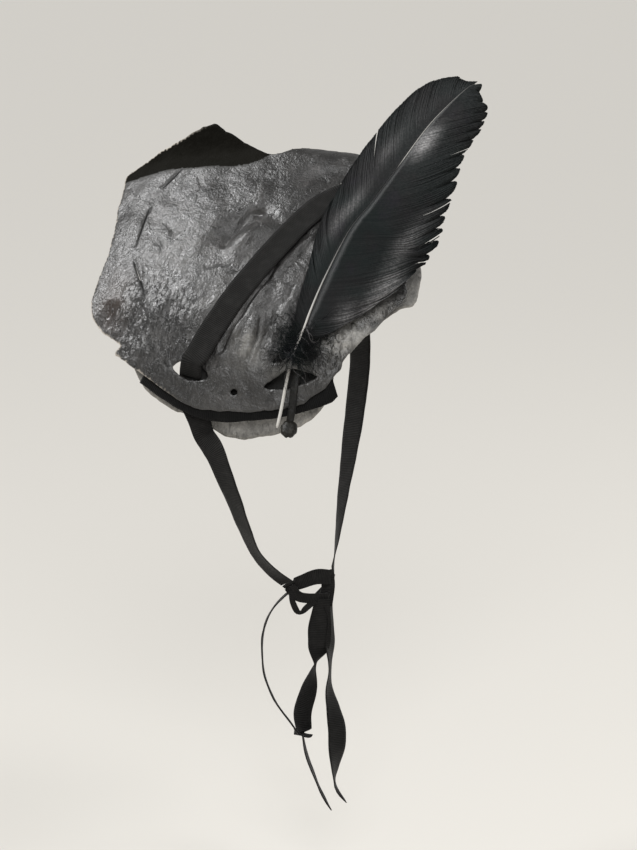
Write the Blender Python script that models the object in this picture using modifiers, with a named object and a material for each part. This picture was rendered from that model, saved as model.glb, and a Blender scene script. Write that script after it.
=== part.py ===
"""A small leather hat worn tilted on the right side of the head, built as its separate pieces.

A ragged sheet of leather is moulded over a second one, with a black band between them. One ribbon
runs over the crown, through a slot at each end, and ties under the chin. A long feather is pushed
through a pair of slits at the temple, and a leather thong holds its quill.

The script works in millimetres and writes metres. The world has +Z up and the wearer faces -Y, so
the wearer's right is at -X. The origin is where the hat's inner face rests on the head.
"""

import math

import bmesh
import bpy
from mathutils import Matrix, Vector

MM = 0.001

# An empty scene, with one collection for the hat and one for what shapes it.
for old in list(bpy.data.objects):
    bpy.data.objects.remove(old)
HAT = bpy.data.collections.new("leather_hat")
CUTTERS = bpy.data.collections.new("cutters")
bpy.context.scene.collection.children.link(HAT)
bpy.context.scene.collection.children.link(CUTTERS)

# How the hat sits: the way its crown faces, and how far that leans up from the horizontal.
HAT_HEADING = -62.0
HAT_LEAN = 44.0

# Walls and clearances.
LEATHER = 1.6
RIBBON = 1.0
RIBBON_WIDTH = 16.0
BAND_WIDTH = 14.0
JOIN_GAP = 1.1

# The upper leather's form, as the radius of its curve on each side of the crown.
RADIUS_LOW = 100.0
RADIUS_HIGH = 700.0
RADIUS_BACK = 260.0
RADIUS_FRONT = 210.0
CROWN_RISE = 5.6

# The turned-up flap at the far edge, and the rolled edge beside it.
FLAP_LINE = 104.0
FLAP_SLOPE = 1.35
FLAP_ROUND = 7.0
FLAP_ENDS = (-16.0, 4.0)
ROLL_LINE = 97.0
ROLL_RADIUS = 15.0
ROLL_ENDS = (-14.0, 14.0)

# How the two sheets part from the place where they touch.
SEAT_ACROSS = -60.0
PARTING_ACROSS = 0.0007
PARTING_LOW = 0.0015
PARTING_HIGH = 0.0048
SHEET_GAP = 0.6
BAND_GAP = 0.9
RIBBON_GAP = 0.9

# Mesh spacing of the sheets, before they are moulded.
UPPER_CELL = 7.0
UNDER_CELL = 10.0
CURVE_STEPS = 3

# Outline of the upper leather: place, across, up.
UPPER_OUTLINE = [
    ("flap corner", -111, 100),
    ("flap shoulder", -98, 108),
    ("flap side", -77, 115),
    ("flap peak back", -56, 120.5),
    ("flap peak", -49, 119.5),
    ("flap fall", -32, 111),
    ("flap foot", -12, 101),
    ("rolled edge start", 2, 107),
    ("rolled edge", 14, 114),
    ("rolled edge middle", 27, 114.5),
    ("rolled edge end", 42, 110),
    ("front shoulder", 61, 97),
    ("front corner", 78, 78),
    ("front edge", 89, 56),
    ("front edge low", 88, 36),
    ("temple notch", 80, 10),
    ("temple step", 81, -2),
    ("temple wave", 75, -13),
    ("temple edge", 61, -32),
    ("temple corner", 48, -47),
    ("brow", 41, -58),
    ("brow corner", 30, -70),
    ("low edge front", 13, -77.5),
    ("low edge", -8, -80),
    ("low edge middle", -34, -79),
    ("low edge back", -54, -74.5),
    ("back corner", -77, -60),
    ("nape corner", -97, -46),
    ("nape notch out", -101, -42),
    ("nape notch in", -98, -37),
    ("back tip low", -109, -29),
    ("back tip", -120, -12),
    ("back edge", -119, 10),
    ("back edge high", -113, 42),
    ("back hollow", -113, 70),
    ("under the corner", -112, 88),
]

# Outline of the under leather: place, across, up.
UNDER_OUTLINE = [
    ("back", -89, 8),
    ("back high", -73, 36),
    ("crown back", -42, 56),
    ("crown", -8, 62),
    ("crown front", 28, 57),
    ("brow top", 60, 51),
    ("brow", 79, 46),
    ("brow front", 86, 36),
    ("brow lap", 86, 14),
    ("brow lap corner", 84, 3),
    ("brow lap foot", 77, -3),
    ("temple hollow", 62, -20),
    ("temple", 50, -32),
    ("temple low", 40, -48),
    ("brow foot", 37, -60),
    ("ear lap front", 31, -70),
    ("ear lap corner", 18, -80),
    ("ear lap", -3, -85.5),
    ("ear lap back", -23, -87),
    ("ear notch front", -36, -83),
    ("ear notch", -46, -77.5),
    ("behind ear", -61, -73),
    ("nape side", -76, -65),
    ("nape", -86, -54),
    ("nape back", -91, -38),
    ("back low", -92, -15),
]

# Dents and folds of the upper leather: name, across, up, heading, half length, half width, lift.
FOLDS = [
    ("crown dent", -28, 41, 38, 20, 6.5, -4.2),
    ("dent lip", -19, 30, 32, 15, 6.0, 2.0),
    ("strap trough", 6, 6, 61, 44, 7.0, -2.2),
    ("temple hollow", 24, -16, 70, 26, 9.0, -2.6),
    ("cheek fold", -13, -36, 76, 18, 4.0, 2.6),
    ("cheek furrow", -3, -38, 74, 18, 4.0, -2.0),
    ("front fold", 36, -24, 40, 20, 7.0, 2.6),
    ("brow swell", 56, -8, 35, 18, 9.0, 3.0),
    ("quill strip", 13.0, -57.8, 78, 7.5, 9.0, 6.2),
    ("back hollow", -108, -17, 60, 9, 5.0, -3.4),
    ("nape furrow", -88, -24, 66, 24, 5.0, -0.9),
    ("back fold", -76, -30, 70, 22, 5.0, 1.6),
    ("far dent", 22, 84, 20, 18, 9.0, -2.6),
    ("back rise", -98, 60, 80, 34, 12.0, 2.0),
]

# Through cuts: name, across, up, heading, length, width at the middle.
STRAP_SLOTS = [
    ("ear slot", -50.5, -58, -18, 25, 9.5),
    ("crown slot", 42, 72, -45, 24, 10.0),
]
QUILL_SLITS = [
    ("quill entry", 11.5, -51.8, 18, 22, 6.6),
    ("quill exit", 12.8, -64.6, 12, 34, 7.0),
]
SLASHES = [
    ("far slash", -77.5, 86, 50, 18, 1.3),
    ("back slash", -92.5, 48, 81, 31, 1.3),
    ("low slash", -90, 8, 112, 28, 1.0),
]
LACE_HOLE = (-22.3, -70.0, 3.2)
UNDER_SLOT = ("under ear slot", -60, -50, -14, 30, 12.0)

# Middle line of the hat band, from the nape to the temple: across, up.
BAND_LINE = [
    (-80, -54), (-65, -64), (-50, -72), (-33, -76.5), (-12, -76.5), (6, -74.5), (23, -70.5), (41, -63.5),
]

# Middle line of the crown ribbon, from the ear slot to the crown slot: across, up.
RIBBON_LINE = [(-50.5, -58), (-35, -33.2), (-18, -6), (-1, 21.2), (13, 43), (26, 59), (42, 72)]
RIBBON_SEATS = 14
SEAT_ROUNDS = 40

# How the crown ribbon goes down through a slot: distance past the slot's middle, and height over
# the middle of the leather. It is gathered to a smaller width there.
RIBBON_DIVE = [(-5.6, 2.3), (-3.4, 1.6), (0.0, -0.2), (3.6, -3.0)]
DIVE_REACH = 9.5
DIVE_WIDTH = 14.0

# The chin ties and the bow: place (x, y, z), the way the face looks (heading, rise), width.
TIE_RIGHT = [
    ("on the cheek", -46.6, 14.6, -102.8, -92, 2, 16),
    ("cheek low", -44.3, 8.4, -119.1, -98, -8, 16),
    ("jaw", -39.6, 5.0, -134.3, -102, -22, 16),
    ("under the jaw", -31.2, 4.4, -151.4, -108, -34, 15),
    ("twist", -19.3, 6.3, -167.9, -116, -44, 14),
    ("throat", -4.5, 8.5, -181.9, -98, -48, 13),
    ("to the knot", 11.1, 10.4, -193.7, -75, -45, 11),
    ("knot", 24.7, 10.7, -202.9, -60, -30, 9),
]
# The right tie's start between the leathers: across, up, gap to the under leather.
TIE_START = [(-52.2, -65.4, 2.2), (-50.0, -71.0, 0.9), (-45.8, -77.5, 0.9), (-42.0, -84.5, 1.6)]
TIE_LEFT = [
    ("off the crown", 75.2, -12.8, 48.3, 62, 64, 15),
    ("over the crown", 82.5, -8.5, 41.5, 68, 52, 16),
    ("over the temple", 90, -2.5, 25, 82, 34, 16),
    ("temple", 96.5, 5, 2, 88, 20, 16),
    ("cheek bone", 106, 10, -30, 90, 10, 16),
    ("cheek", 112, 13, -70, 90, -3, 16),
    ("jaw", 107, 15, -112, 82, -14, 16),
    ("under the jaw", 92, 12, -152, 62, -22, 14),
    ("throat", 74, 5, -182, 30, -30, 11),
    ("knot", 58, -2.5, -199.5, 0, -20, 9),
]
KNOT_BAND = [
    ("right end", 25.55, 10.6, -203.5, -60, -30, 9),
    ("right", 29.3, 9.8, -205.0, -58, -16, 9),
    ("right rise", 34.5, 6.0, -203.5, -55, 0, 9),
    ("middle", 43.0, 0.0, -201.0, -45, 4, 10),
    ("left rise", 51.5, -4.8, -202.5, -20, -8, 10),
    ("left", 55.6, -3.6, -202.3, -4, -18, 9),
    ("left end", 57.2, -2.9, -200.5, 0, -20, 9),
]
KNOT_TURN = [
    ("top", 50.2, -3.0, -198.0, -40, 10, 9),
    ("front", 51.6, -3.2, -209.0, -50, 0, 9),
    ("foot", 47.6, -4.4, -221.0, -55, -10, 8),
]
KNOT_BAR = [
    ("top", 27.5, 10.4, -206.0, -60, 0, 8),
    ("middle", 33.0, 6.0, -213.4, -55, -10, 7),
    ("foot", 49.5, -5.6, -216.5, -55, 0, 7),
]
KNOT_LOOP = [
    ("top", 28.6, 9.8, -208.0, -40, 0, 4),
    ("side", 28.4, 9.0, -216.0, -20, 0, 4),
    ("foot", 31.8, 6.2, -223.6, -50, -40, 4),
    ("back up", 37.5, 2.6, -220.0, -50, 0, 4),
    ("end", 42.0, 0.0, -216.5, -55, 0, 4),
]
BOW_LOOP = [
    ("top", 35.0, 9.0, -206.5, -145, 20, 8),
    ("shoulder", 25.5, 18.6, -217.2, -145, 12, 12),
    ("side high", 18.8, 23.4, -230.0, -145, 4, 14),
    ("side", 14.7, 23.8, -244.7, -145, 0, 16),
    ("side low", 12.4, 20.6, -262.0, -142, -8, 16),
    ("curve", 13.0, 13.8, -278.0, -138, -22, 16),
    ("curve low", 15.8, 5.4, -290.2, -130, -45, 15),
    ("fold", 20.8, -1.6, -302.5, -110, -70, 13),
    ("fold back", 27.0, -1.2, -303.5, -70, -50, 12),
    ("back up", 30.0, 2.0, -291.0, -84, 0, 13),
    ("broad", 34.4, 0.0, -276.3, -96, 0, 13),
    ("twist", 38.4, -2.0, -261.2, -140, 0, 13),
    ("face", 41.6, -2.9, -246.8, -218, 0, 15),
    ("face high", 43.4, -2.5, -233.6, -232, 0, 15),
    ("end", 45.5, -3.0, -216.0, -230, 0, 9),
]
FRONT_END = [
    ("top", 48.6, -3.0, -213.0, -20, 0, 8),
    ("high", 51.5, -4.9, -228.3, 22, 0, 12),
    ("side", 51.8, -4.6, -245.6, 12, 0, 15),
    ("narrow", 48.6, -6.7, -263.7, 30, 0, 16),
    ("turn", 44.3, -9.1, -277.2, 18, 0, 16),
    ("opening", 42.3, -13.8, -288.2, 2, 0, 16),
    ("face", 39.8, -18.4, -300.5, -10, 0, 16),
    ("face low", 37.5, -20.0, -313.3, -8, 0, 16),
    ("closing", 35.4, -20.1, -326.5, 18, 0, 16),
    ("second narrow", 33.5, -21.4, -337.5, 34, 0, 16),
    ("tip", 33.4, -26.3, -351.0, 4, 0, 14),
]
BACK_END = [
    ("top", 46.0, 0.5, -211.0, 0, 0, 8),
    ("high", 52.0, 5.0, -228.0, 30, 0, 12),
    ("side", 52.5, 5.4, -247.0, 35, 0, 16),
    ("middle", 49.0, 6.3, -265.4, 35, 0, 16),
    ("low", 43.2, 7.9, -283.6, 38, 0, 16),
    ("lower", 37.5, 7.9, -300.8, 35, 0, 16),
    ("bend", 34.1, 3.9, -315.0, 32, 0, 16),
    ("tail", 33.4, -2.2, -329.6, 30, 0, 16),
    ("tail low", 33.5, -9.4, -343.5, 33, 0, 16),
    ("tip", 34.1, -17.1, -357.4, 28, 0, 14),
]
END_SLANT = 12.0

# The feather's shaft, from the cut quill to the tip: across, up, out.
SHAFT = [
    ("quill end", 5.8, -91.3, -27.0),
    ("over the edge", 7.9, -81.5, -22.2),
    ("over the lip", 9.9, -69.5, -16.1),
    ("exit slit", 10.9, -64.6, -13.3),
    ("under the strip", 12.2, -58.5, -9.8),
    ("entry side", 13.4, -54.2, -7.3),
    ("entry slit", 14.3, -51.2, -5.4),
    ("over the leather", 16.4, -46.0, -2.3),
    ("base of the vane", 20.3, -36.8, 2.0),
    ("lower vane", 24.0, -24.6, 5.4),
    ("rising", 31.5, -1.5, 9.0),
    ("middle", 44.2, 33.1, 11.0),
    ("past the ribbon", 56.0, 52.8, 12.0),
    ("over the edge high", 71.3, 80.1, 14.0),
    ("bend", 87.3, 109.3, 16.0),
    ("upper vane", 100.0, 127.5, 17.0),
    ("near the tip", 111.5, 142.0, 17.0),
    ("tip", 116.5, 146.0, 16.5),
]
QUILL_RADIUS = 1.25
TIP_RADIUS = 0.6
VANE_THICKNESS = 0.9
VANE_START = 0.225
VANE_STATIONS = 57
VANE_COLUMNS = 3
LOCK = (1.0, 0.97, 0.84)
VANE_CUP = 320.0
VANE_GAP = 1.4

# Barbs by their place on the shaft: share of its length, then length and angle on the wearer's
# back side, and on the face side.
BARBS = [
    (0.20, 22, 105, 24, 100),
    (0.25, 26, 80, 34, 82),
    (0.30, 22, 45, 46, 72),
    (0.36, 37, 30, 62, 60),
    (0.44, 42, 39, 58, 50),
    (0.52, 39, 45, 54, 47),
    (0.60, 40, 46, 51, 45),
    (0.68, 42, 44, 48, 44),
    (0.76, 44, 40, 43, 43),
    (0.84, 36, 40, 37, 41),
    (0.93, 19, 36, 23, 38),
    (1.00, 6, 18, 8, 22),
]

# The leather thong beside the quill: across, up, out. It ends in a folded stub.
THONG = [
    ("inside", 17.2, -58.5, -11.4),
    ("exit slit", 16.4, -63.6, -12.8),
    ("on the lip", 15.9, -67.3, -14.3),
    ("over the lip", 15.4, -71.5, -17.1),
    ("over the edge", 14.6, -79.0, -22.3),
    ("stub", 13.0, -88.0, -28.5),
]
THONG_WIDTH = 4.6
THONG_THICKNESS = 1.4
STUB_SIZE = (11.0, 13.0, 8.0)


def smooth(value, start, end):
    """0 at start, 1 at end, and level at both."""
    share = min(max((value - start) / (end - start), 0.0), 1.0)
    return share * share * (3 - 2 * share)


def direction(heading, rise):
    """The level direction at a heading, 0 being -Y and 90 being +X, lifted by rise degrees."""
    turn, lift = math.radians(heading), math.radians(rise)
    return Vector((math.sin(turn) * math.cos(lift), -math.cos(turn) * math.cos(lift), math.sin(lift)))


# The hat's own axes: out of the crown, up the sheet, and across it towards the face.
OUT = direction(HAT_HEADING, HAT_LEAN)
UP = (Vector((0, 0, 1)) - OUT * OUT.z).normalized()
ACROSS = UP.cross(OUT)


def in_world(across, up, out):
    return ACROSS * across + UP * up + OUT * out


def crown_form(across, up):
    """Height of the upper leather's middle, without its dents."""
    height = CROWN_RISE
    height -= up * up / (2 * (RADIUS_LOW if up < 0 else RADIUS_HIGH))
    height -= across * across / (2 * (RADIUS_BACK if across < 0 else RADIUS_FRONT))
    past = max(up - FLAP_LINE, 0.0)
    rise = math.hypot(past, FLAP_ROUND) - FLAP_ROUND
    height += FLAP_SLOPE * rise * smooth(across, FLAP_ENDS[1], FLAP_ENDS[0])
    past = max(up - ROLL_LINE, 0.0)
    height -= past * past / (2 * ROLL_RADIUS) * smooth(across, *ROLL_ENDS)
    return height


def fold_lift(across, up):
    """What the dents and folds add."""
    lift = 0.0
    for _, centre_across, centre_up, heading, half_length, half_width, amount in FOLDS:
        turn = math.radians(heading)
        dx, dy = across - centre_across, up - centre_up
        along = (dx * math.cos(turn) + dy * math.sin(turn)) / half_length
        aside = (dy * math.cos(turn) - dx * math.sin(turn)) / half_width
        lift += amount * math.exp(-along**4 - aside * aside)
    return lift


def upper_height(across, up):
    return crown_form(across, up) + fold_lift(across, up)


def under_height(across, up):
    """Height of the under leather's middle, which closes on the head below the upper one."""
    parting = SHEET_GAP + PARTING_ACROSS * (across - SEAT_ACROSS) ** 2
    parting += (PARTING_LOW if up < 0 else PARTING_HIGH) * up * up
    return crown_form(across, up) - LEATHER - parting


def band_height(across, up):
    """Height of the hat band's middle, against the upper leather's inner face."""
    return crown_form(across, up) - (LEATHER + RIBBON) / 2 - BAND_GAP


def sheet_normal(height, across, up):
    """The way that a moulded sheet's face looks."""
    step = 0.5
    slope_across = (height(across + step, up) - height(across - step, up)) / (2 * step)
    slope_up = (height(across, up + step) - height(across, up - step)) / (2 * step)
    return in_world(-slope_across, -slope_up, 1).normalized()


def on_sheet(height, across, up, offset):
    """The place of a point at an offset along the normal of a moulded sheet."""
    return in_world(across, up, height(across, up)) + sheet_normal(height, across, up) * offset


def spline(points, steps, closed=False):
    """Points on the smooth curve through the given ones, which are vectors of any size."""
    count = len(points)
    made = []
    for i in range(count if closed else count - 1):
        around = [
            points[(i + k) % count] if closed else points[min(max(i + k, 0), count - 1)]
            for k in (-1, 0, 1, 2)
        ]
        before, start, end, after = around
        for k in range(steps):
            t = k / steps
            made.append(
                (start * 2 + (end - before) * t + (before * 2 - start * 5 + end * 4 - after) * t**2
                 + (start * 3 - before - end * 3 + after) * t**3) / 2
            )
    return made if closed else [*made, points[-1].copy()]


def new_object(name, mesh, material=None, hidden=False):
    obj = bpy.data.objects.new(name, mesh)
    (CUTTERS if hidden else HAT).objects.link(obj)
    if hidden:
        obj.hide_render = True
        obj.display_type = "WIRE"
    if material:
        mesh.materials.append(material)
    return obj


def mesh_of_curve(name, curve, weld):
    """The closed mesh of a curve object's surface, with points nearer than the weld joined."""
    holder = new_object(name + "_curve", curve, hidden=True)
    bpy.context.view_layer.update()
    mesh = bpy.data.meshes.new_from_object(holder.evaluated_get(bpy.context.evaluated_depsgraph_get()))
    bpy.data.objects.remove(holder)
    work = bmesh.new()
    work.from_mesh(mesh)
    bmesh.ops.remove_doubles(work, verts=work.verts, dist=weld)
    bmesh.ops.recalc_face_normals(work, faces=work.faces)
    work.to_mesh(mesh)
    work.free()
    return mesh


def plate(name, outline, thickness):
    """A flat plate of an outline in the level plane, made from a filled curve."""
    curve = bpy.data.curves.new(name, "CURVE")
    curve.dimensions, curve.fill_mode, curve.extrude = "2D", "BOTH", thickness / 2
    line = curve.splines.new("POLY")
    line.points.add(len(outline) - 1)
    for point, place in zip(line.points, outline):
        point.co = (place.x, place.y, 0, 1)
    line.use_cyclic_u = True
    return new_object(name, mesh_of_curve(name, curve, 1e-4), hidden=True)


def lens(across, up, heading, length, width, sides=7):
    """The outline of a pointed cut, bowed on both sides."""
    turn = Matrix.Rotation(math.radians(heading), 2)
    top = []
    for k in range(sides + 1):
        top.append((length * (k / sides - 0.5), width / 2 * math.sin(math.pi * k / sides) ** 0.6))
    top[0], top[-1] = (top[0][0], 0.0), (top[-1][0], 0.0)
    around = top + [(x, -y) for x, y in reversed(top[1:-1])]
    return [Vector((across, up)) + turn @ Vector(place) for place in around]


def baked(obj):
    """Makes an object's modifiers part of its mesh."""
    bpy.context.view_layer.update()
    mesh = bpy.data.meshes.new_from_object(obj.evaluated_get(bpy.context.evaluated_depsgraph_get()))
    obj.modifiers.clear()
    obj.data = mesh
    return obj


def boolean(obj, operation, cutters):
    for cutter in cutters:
        modifier = obj.modifiers.new(operation.lower(), "BOOLEAN")
        modifier.operation, modifier.object = operation, cutter
    return baked(obj)


def moulded_sheet(name, outline, cuts, height, cell, thickness, material):
    """A flat blank, cut to its outline and slots, then moulded over its form."""
    reach = max(max(abs(place.x), abs(place.y)) for place in outline) + 2 * cell
    cells = round(2 * reach / cell)
    mesh = bpy.data.meshes.new(name)
    work = bmesh.new()
    bmesh.ops.create_grid(work, x_segments=cells, y_segments=cells, size=reach)
    work.to_mesh(mesh)
    work.free()
    sheet = new_object(name, mesh, material)
    solid = sheet.modifiers.new("thickness", "SOLIDIFY")
    solid.thickness, solid.offset = thickness, 0
    baked(sheet)
    boolean(sheet, "INTERSECT", [plate(name + "_shape", outline, 4 * thickness)])
    for i, cut in enumerate(cuts):
        boolean(sheet, "DIFFERENCE", [plate(f"{name}_cut_{i}", cut, 4 * thickness)])
    work = bmesh.new()
    work.from_mesh(sheet.data)
    bmesh.ops.triangulate(work, faces=work.faces)
    for vert in work.verts:
        vert.co = on_sheet(height, vert.co.x, vert.co.y, vert.co.z) * MM
    work.to_mesh(sheet.data)
    work.free()
    sheet.data.shade_smooth()
    sheet.data.set_sharp_from_angle(angle=math.radians(40))
    return sheet


def route(rows):
    """Rows of a strap as one vector each: place, face, width."""
    return [Vector((x, y, z, *direction(heading, rise), width)) for _, x, y, z, heading, rise, width in rows]


def tape(name, rows, thickness, material=None, spacing=6.0, slant=0.0):
    """A strap along a route, whose face turns and whose width changes from row to row."""
    line = spline(rows, 8)
    lengths = [0.0]
    for a, b in zip(line, line[1:]):
        lengths.append(lengths[-1] + (Vector(b[:3]) - Vector(a[:3])).length)
    count = max(3, round(lengths[-1] / spacing))
    mesh = bpy.data.meshes.new(name)
    work = bmesh.new()
    bmesh.ops.create_grid(work, x_segments=count, y_segments=1, size=1)
    for vert in work.verts:
        share = (vert.co.x + 1) / 2
        at = lengths[-1] * share - slant * (vert.co.y + 1) * smooth(share, 0.9, 1.0)
        k = next((i for i in range(1, len(lengths)) if lengths[i] >= at), len(lengths) - 1)
        t = (at - lengths[k - 1]) / (lengths[k] - lengths[k - 1])
        row = line[k - 1].lerp(line[k], t)
        ahead = Vector(line[min(k + 2, len(line) - 1)][:3]) - Vector(line[max(k - 3, 0)][:3])
        side = ahead.cross(Vector(row[3:6])).normalized()
        vert.co = (Vector(row[:3]) + side * vert.co.y * row[6] / 2) * MM
    work.to_mesh(mesh)
    work.free()
    strap = new_object(name, mesh, material, hidden=material is None)
    solid = strap.modifiers.new("thickness", "SOLIDIFY")
    solid.thickness, solid.offset = thickness * MM, 0
    baked(strap)
    work = bmesh.new()
    work.from_mesh(strap.data)
    bmesh.ops.triangulate(work, faces=work.faces)
    work.to_mesh(strap.data)
    work.free()
    return strap


def fused(name, first, others, material):
    """One body made from several that run into each other."""
    boolean(first, "UNION", others)
    return new_object(name, first.data, material)


def plain_material(name, colour, roughness):
    material = bpy.data.materials.new(name)
    material.use_nodes = True
    shader = material.node_tree.nodes["Principled BSDF"]
    shader.inputs["Base Color"].default_value = (*colour, 1)
    shader.inputs["Roughness"].default_value = roughness
    shader.inputs["Metallic"].default_value = 0
    return material


def outline_of(rows):
    return spline([Vector((across, up)) for _, across, up in rows], CURVE_STEPS, closed=True)


def strip_outline(rows, width):
    """The outline of a flat strip, square at its first end and with its last corners cut."""
    line = spline([Vector(row) for row in rows], CURVE_STEPS)
    sides = []
    for i, place in enumerate(line):
        ahead = (line[min(i + 1, len(line) - 1)] - line[max(i - 1, 0)]).normalized()
        sides.append(Vector((-ahead.y, ahead.x)) * width / 2 * (0.72 if i == len(line) - 1 else 1))
    return [a + b for a, b in zip(line, sides)] + [a - b for a, b in zip(reversed(line), reversed(sides))]


def make_upper_leather(material):
    cuts = [lens(*row[1:]) for row in STRAP_SLOTS + QUILL_SLITS + SLASHES]
    across, up, size = LACE_HOLE
    cuts.append(lens(across, up, -10, size * 1.4, size))
    outline = outline_of(UPPER_OUTLINE)
    return moulded_sheet("upper_leather", outline, cuts, upper_height, UPPER_CELL, LEATHER, material)


def make_under_leather(material):
    outline = outline_of(UNDER_OUTLINE)
    cuts = [lens(*UNDER_SLOT[1:])]
    return moulded_sheet("under_leather", outline, cuts, under_height, UNDER_CELL, LEATHER, material)


def make_hat_band(material):
    outline = strip_outline(BAND_LINE, BAND_WIDTH)
    return moulded_sheet("hat_band", outline, [], band_height, UNDER_CELL, RIBBON, material)


def dive(slot):
    """Rows of the crown ribbon from the leather's face down through a slot."""
    _, across, up, heading, _, _ = slot
    turn = math.radians(heading)
    way = Vector((-math.sin(turn), math.cos(turn))) * (1 if up > 0 else -1)
    rows = []
    for past, over in RIBBON_DIVE:
        place = Vector((across, up)) + way * past
        face = sheet_normal(crown_form, *place)
        rows.append(Vector((*on_sheet(crown_form, *place, over), *face, DIVE_WIDTH)))
    return rows


def ribbon_seats():
    """Places along the crown ribbon's line between its slots, each with the way that it runs."""
    line = spline([Vector(row) for row in RIBBON_LINE], 12)
    lengths = [0.0]
    for a, b in zip(line, line[1:]):
        lengths.append(lengths[-1] + (b - a).length)
    seats = []
    for k in range(RIBBON_SEATS):
        at = DIVE_REACH + (lengths[-1] - 2 * DIVE_REACH) * k / (RIBBON_SEATS - 1)
        i = next(i for i in range(1, len(lengths)) if lengths[i] >= at)
        place = line[i - 1].lerp(line[i], (at - lengths[i - 1]) / (lengths[i] - lengths[i - 1]))
        seats.append((place, (line[i] - line[i - 1]).normalized()))
    return seats


def make_crown_ribbon(material):
    """The ribbon drawn tight over the crown, with each end turned down through its slot."""
    seats = ribbon_seats()
    heights = []
    for place, ahead in seats:
        aside = Vector((-ahead.y, ahead.x)) * RIBBON_WIDTH
        most = max(upper_height(*(place + aside * j / 8)) for j in range(-4, 5))
        heights.append(most + (LEATHER + RIBBON) / 2 + RIBBON_GAP)
    for _ in range(SEAT_ROUNDS):
        for k in range(1, len(heights) - 1):
            heights[k] = max(heights[k], (heights[k - 1] + heights[k + 1]) / 2)
    rows = []
    for (place, _), out in zip(seats, heights):
        rows.append(Vector((*in_world(*place, out), *OUT, RIBBON_WIDTH)))
    low, high = STRAP_SLOTS
    rows = [*reversed(dive(low)), *rows, *dive(high)]
    return tape("crown_ribbon", rows, RIBBON, material, spacing=5.0)


def carried_on(rows):
    """The first row of a strap that goes on where another ends."""
    end, before = Vector(rows[-1][:3]), Vector(rows[-2][:3])
    return Vector((*(end + (end - before).normalized() * JOIN_GAP), *rows[-1][3:]))


def make_tie_right(material):
    """From under the ear slot, down between the leathers and the cheek to the knot."""
    rows = [carried_on(dive(STRAP_SLOTS[0]))]
    for across, up, above in TIE_START:
        place = on_sheet(under_height, across, up, (LEATHER + RIBBON) / 2 + above)
        rows.append(Vector((*place, *sheet_normal(under_height, across, up), DIVE_WIDTH)))
    return tape("chin_tie_right", rows + route(TIE_RIGHT), RIBBON, material)


def make_tie_left(material):
    """From under the crown slot, over the far side of the head to the knot."""
    rows = [carried_on(dive(STRAP_SLOTS[1]))]
    return tape("chin_tie_left", rows + route(TIE_LEFT), RIBBON, material)


def make_bow(material):
    straps = [KNOT_TURN, KNOT_BAR, KNOT_LOOP, BOW_LOOP, FRONT_END, BACK_END]
    first = tape("knot_band", route(KNOT_BAND), RIBBON)
    others = []
    for i, rows in enumerate(straps):
        slant = END_SLANT if rows in (FRONT_END, BACK_END) else 0.0
        others.append(tape(f"bow_strap_{i}", route(rows), RIBBON, slant=slant))
    return fused("bow", first, others, material)


def shaft_mesh():
    line = spline([Vector(row[1:]) for row in SHAFT], 4)
    curve = bpy.data.curves.new("shaft", "CURVE")
    curve.dimensions, curve.bevel_depth, curve.bevel_resolution = "3D", MM, 1
    curve.use_fill_caps = True
    poly = curve.splines.new("POLY")
    poly.points.add(len(line) - 1)
    for i, (point, place) in enumerate(zip(poly.points, line)):
        point.co = (*(in_world(*place) * MM), 1)
        point.radius = QUILL_RADIUS + (TIP_RADIUS - QUILL_RADIUS) * smooth(i / len(line), 0.3, 1)
    return new_object("shaft", mesh_of_curve("shaft", curve, 1e-6), hidden=True), line


def make_feather(material):
    """Barbs swept towards the tip on both sides of a tapered shaft, parted into locks at the edge."""
    shaft, line = shaft_mesh()
    lengths = [0.0]
    for a, b in zip(line, line[1:]):
        lengths.append(lengths[-1] + (b - a).length)
    barbs = spline([Vector(row) for row in BARBS], 6)
    mesh = bpy.data.meshes.new("vane")
    work = bmesh.new()
    columns = 2 * VANE_COLUMNS
    bmesh.ops.create_grid(work, x_segments=VANE_STATIONS, y_segments=columns, size=1)
    for vert in work.verts:
        share = VANE_START + (1 - VANE_START) * (vert.co.x + 1) / 2
        station = round((vert.co.x + 1) / 2 * VANE_STATIONS)
        at = lengths[-1] * share
        k = next((i for i in range(1, len(lengths)) if lengths[i] >= at - 1e-6), len(lengths) - 1)
        place = line[k - 1].lerp(line[k], (at - lengths[k - 1]) / (lengths[k] - lengths[k - 1]))
        ahead = (line[min(k + 1, len(line) - 1)] - line[max(k - 2, 0)]).normalized()
        b = next((i for i in range(1, len(barbs)) if barbs[i][0] >= share - 1e-6), len(barbs) - 1)
        row = barbs[b - 1].lerp(barbs[b], (share - barbs[b - 1][0]) / (barbs[b][0] - barbs[b - 1][0]))
        length, angle = (row[1], row[2]) if vert.co.y > 0 else (row[3], -row[4])
        reach = abs(vert.co.y) * length * (1 + (LOCK[station % 3] - 1) * abs(vert.co.y) ** 2)
        turned = Matrix.Rotation(math.radians(angle), 2) @ Vector(ahead[:2]).normalized()
        across, up = Vector(place[:2]) + turned * reach
        out = place.z + ahead.z * reach * math.cos(math.radians(angle)) - reach * reach / (2 * VANE_CUP)
        if inside(across, up, UPPER_OUTLINE):
            out = max(out, upper_height(across, up) + LEATHER / 2 + VANE_GAP)
        vert.co = in_world(across, up, out) * MM
    work.to_mesh(mesh)
    work.free()
    vane = new_object("vane", mesh, hidden=True)
    solid = vane.modifiers.new("thickness", "SOLIDIFY")
    solid.thickness, solid.offset = VANE_THICKNESS * MM, 0
    return fused("feather", baked(vane), [shaft], material)


def inside(across, up, rows):
    """Whether a point lies within an outline, counting the sides that it is left of."""
    found = False
    for (_, x1, y1), (_, x2, y2) in zip(rows, rows[1:] + rows[:1]):
        if (y1 > up) != (y2 > up) and across < x1 + (up - y1) * (x2 - x1) / (y2 - y1):
            found = not found
    return found


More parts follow.
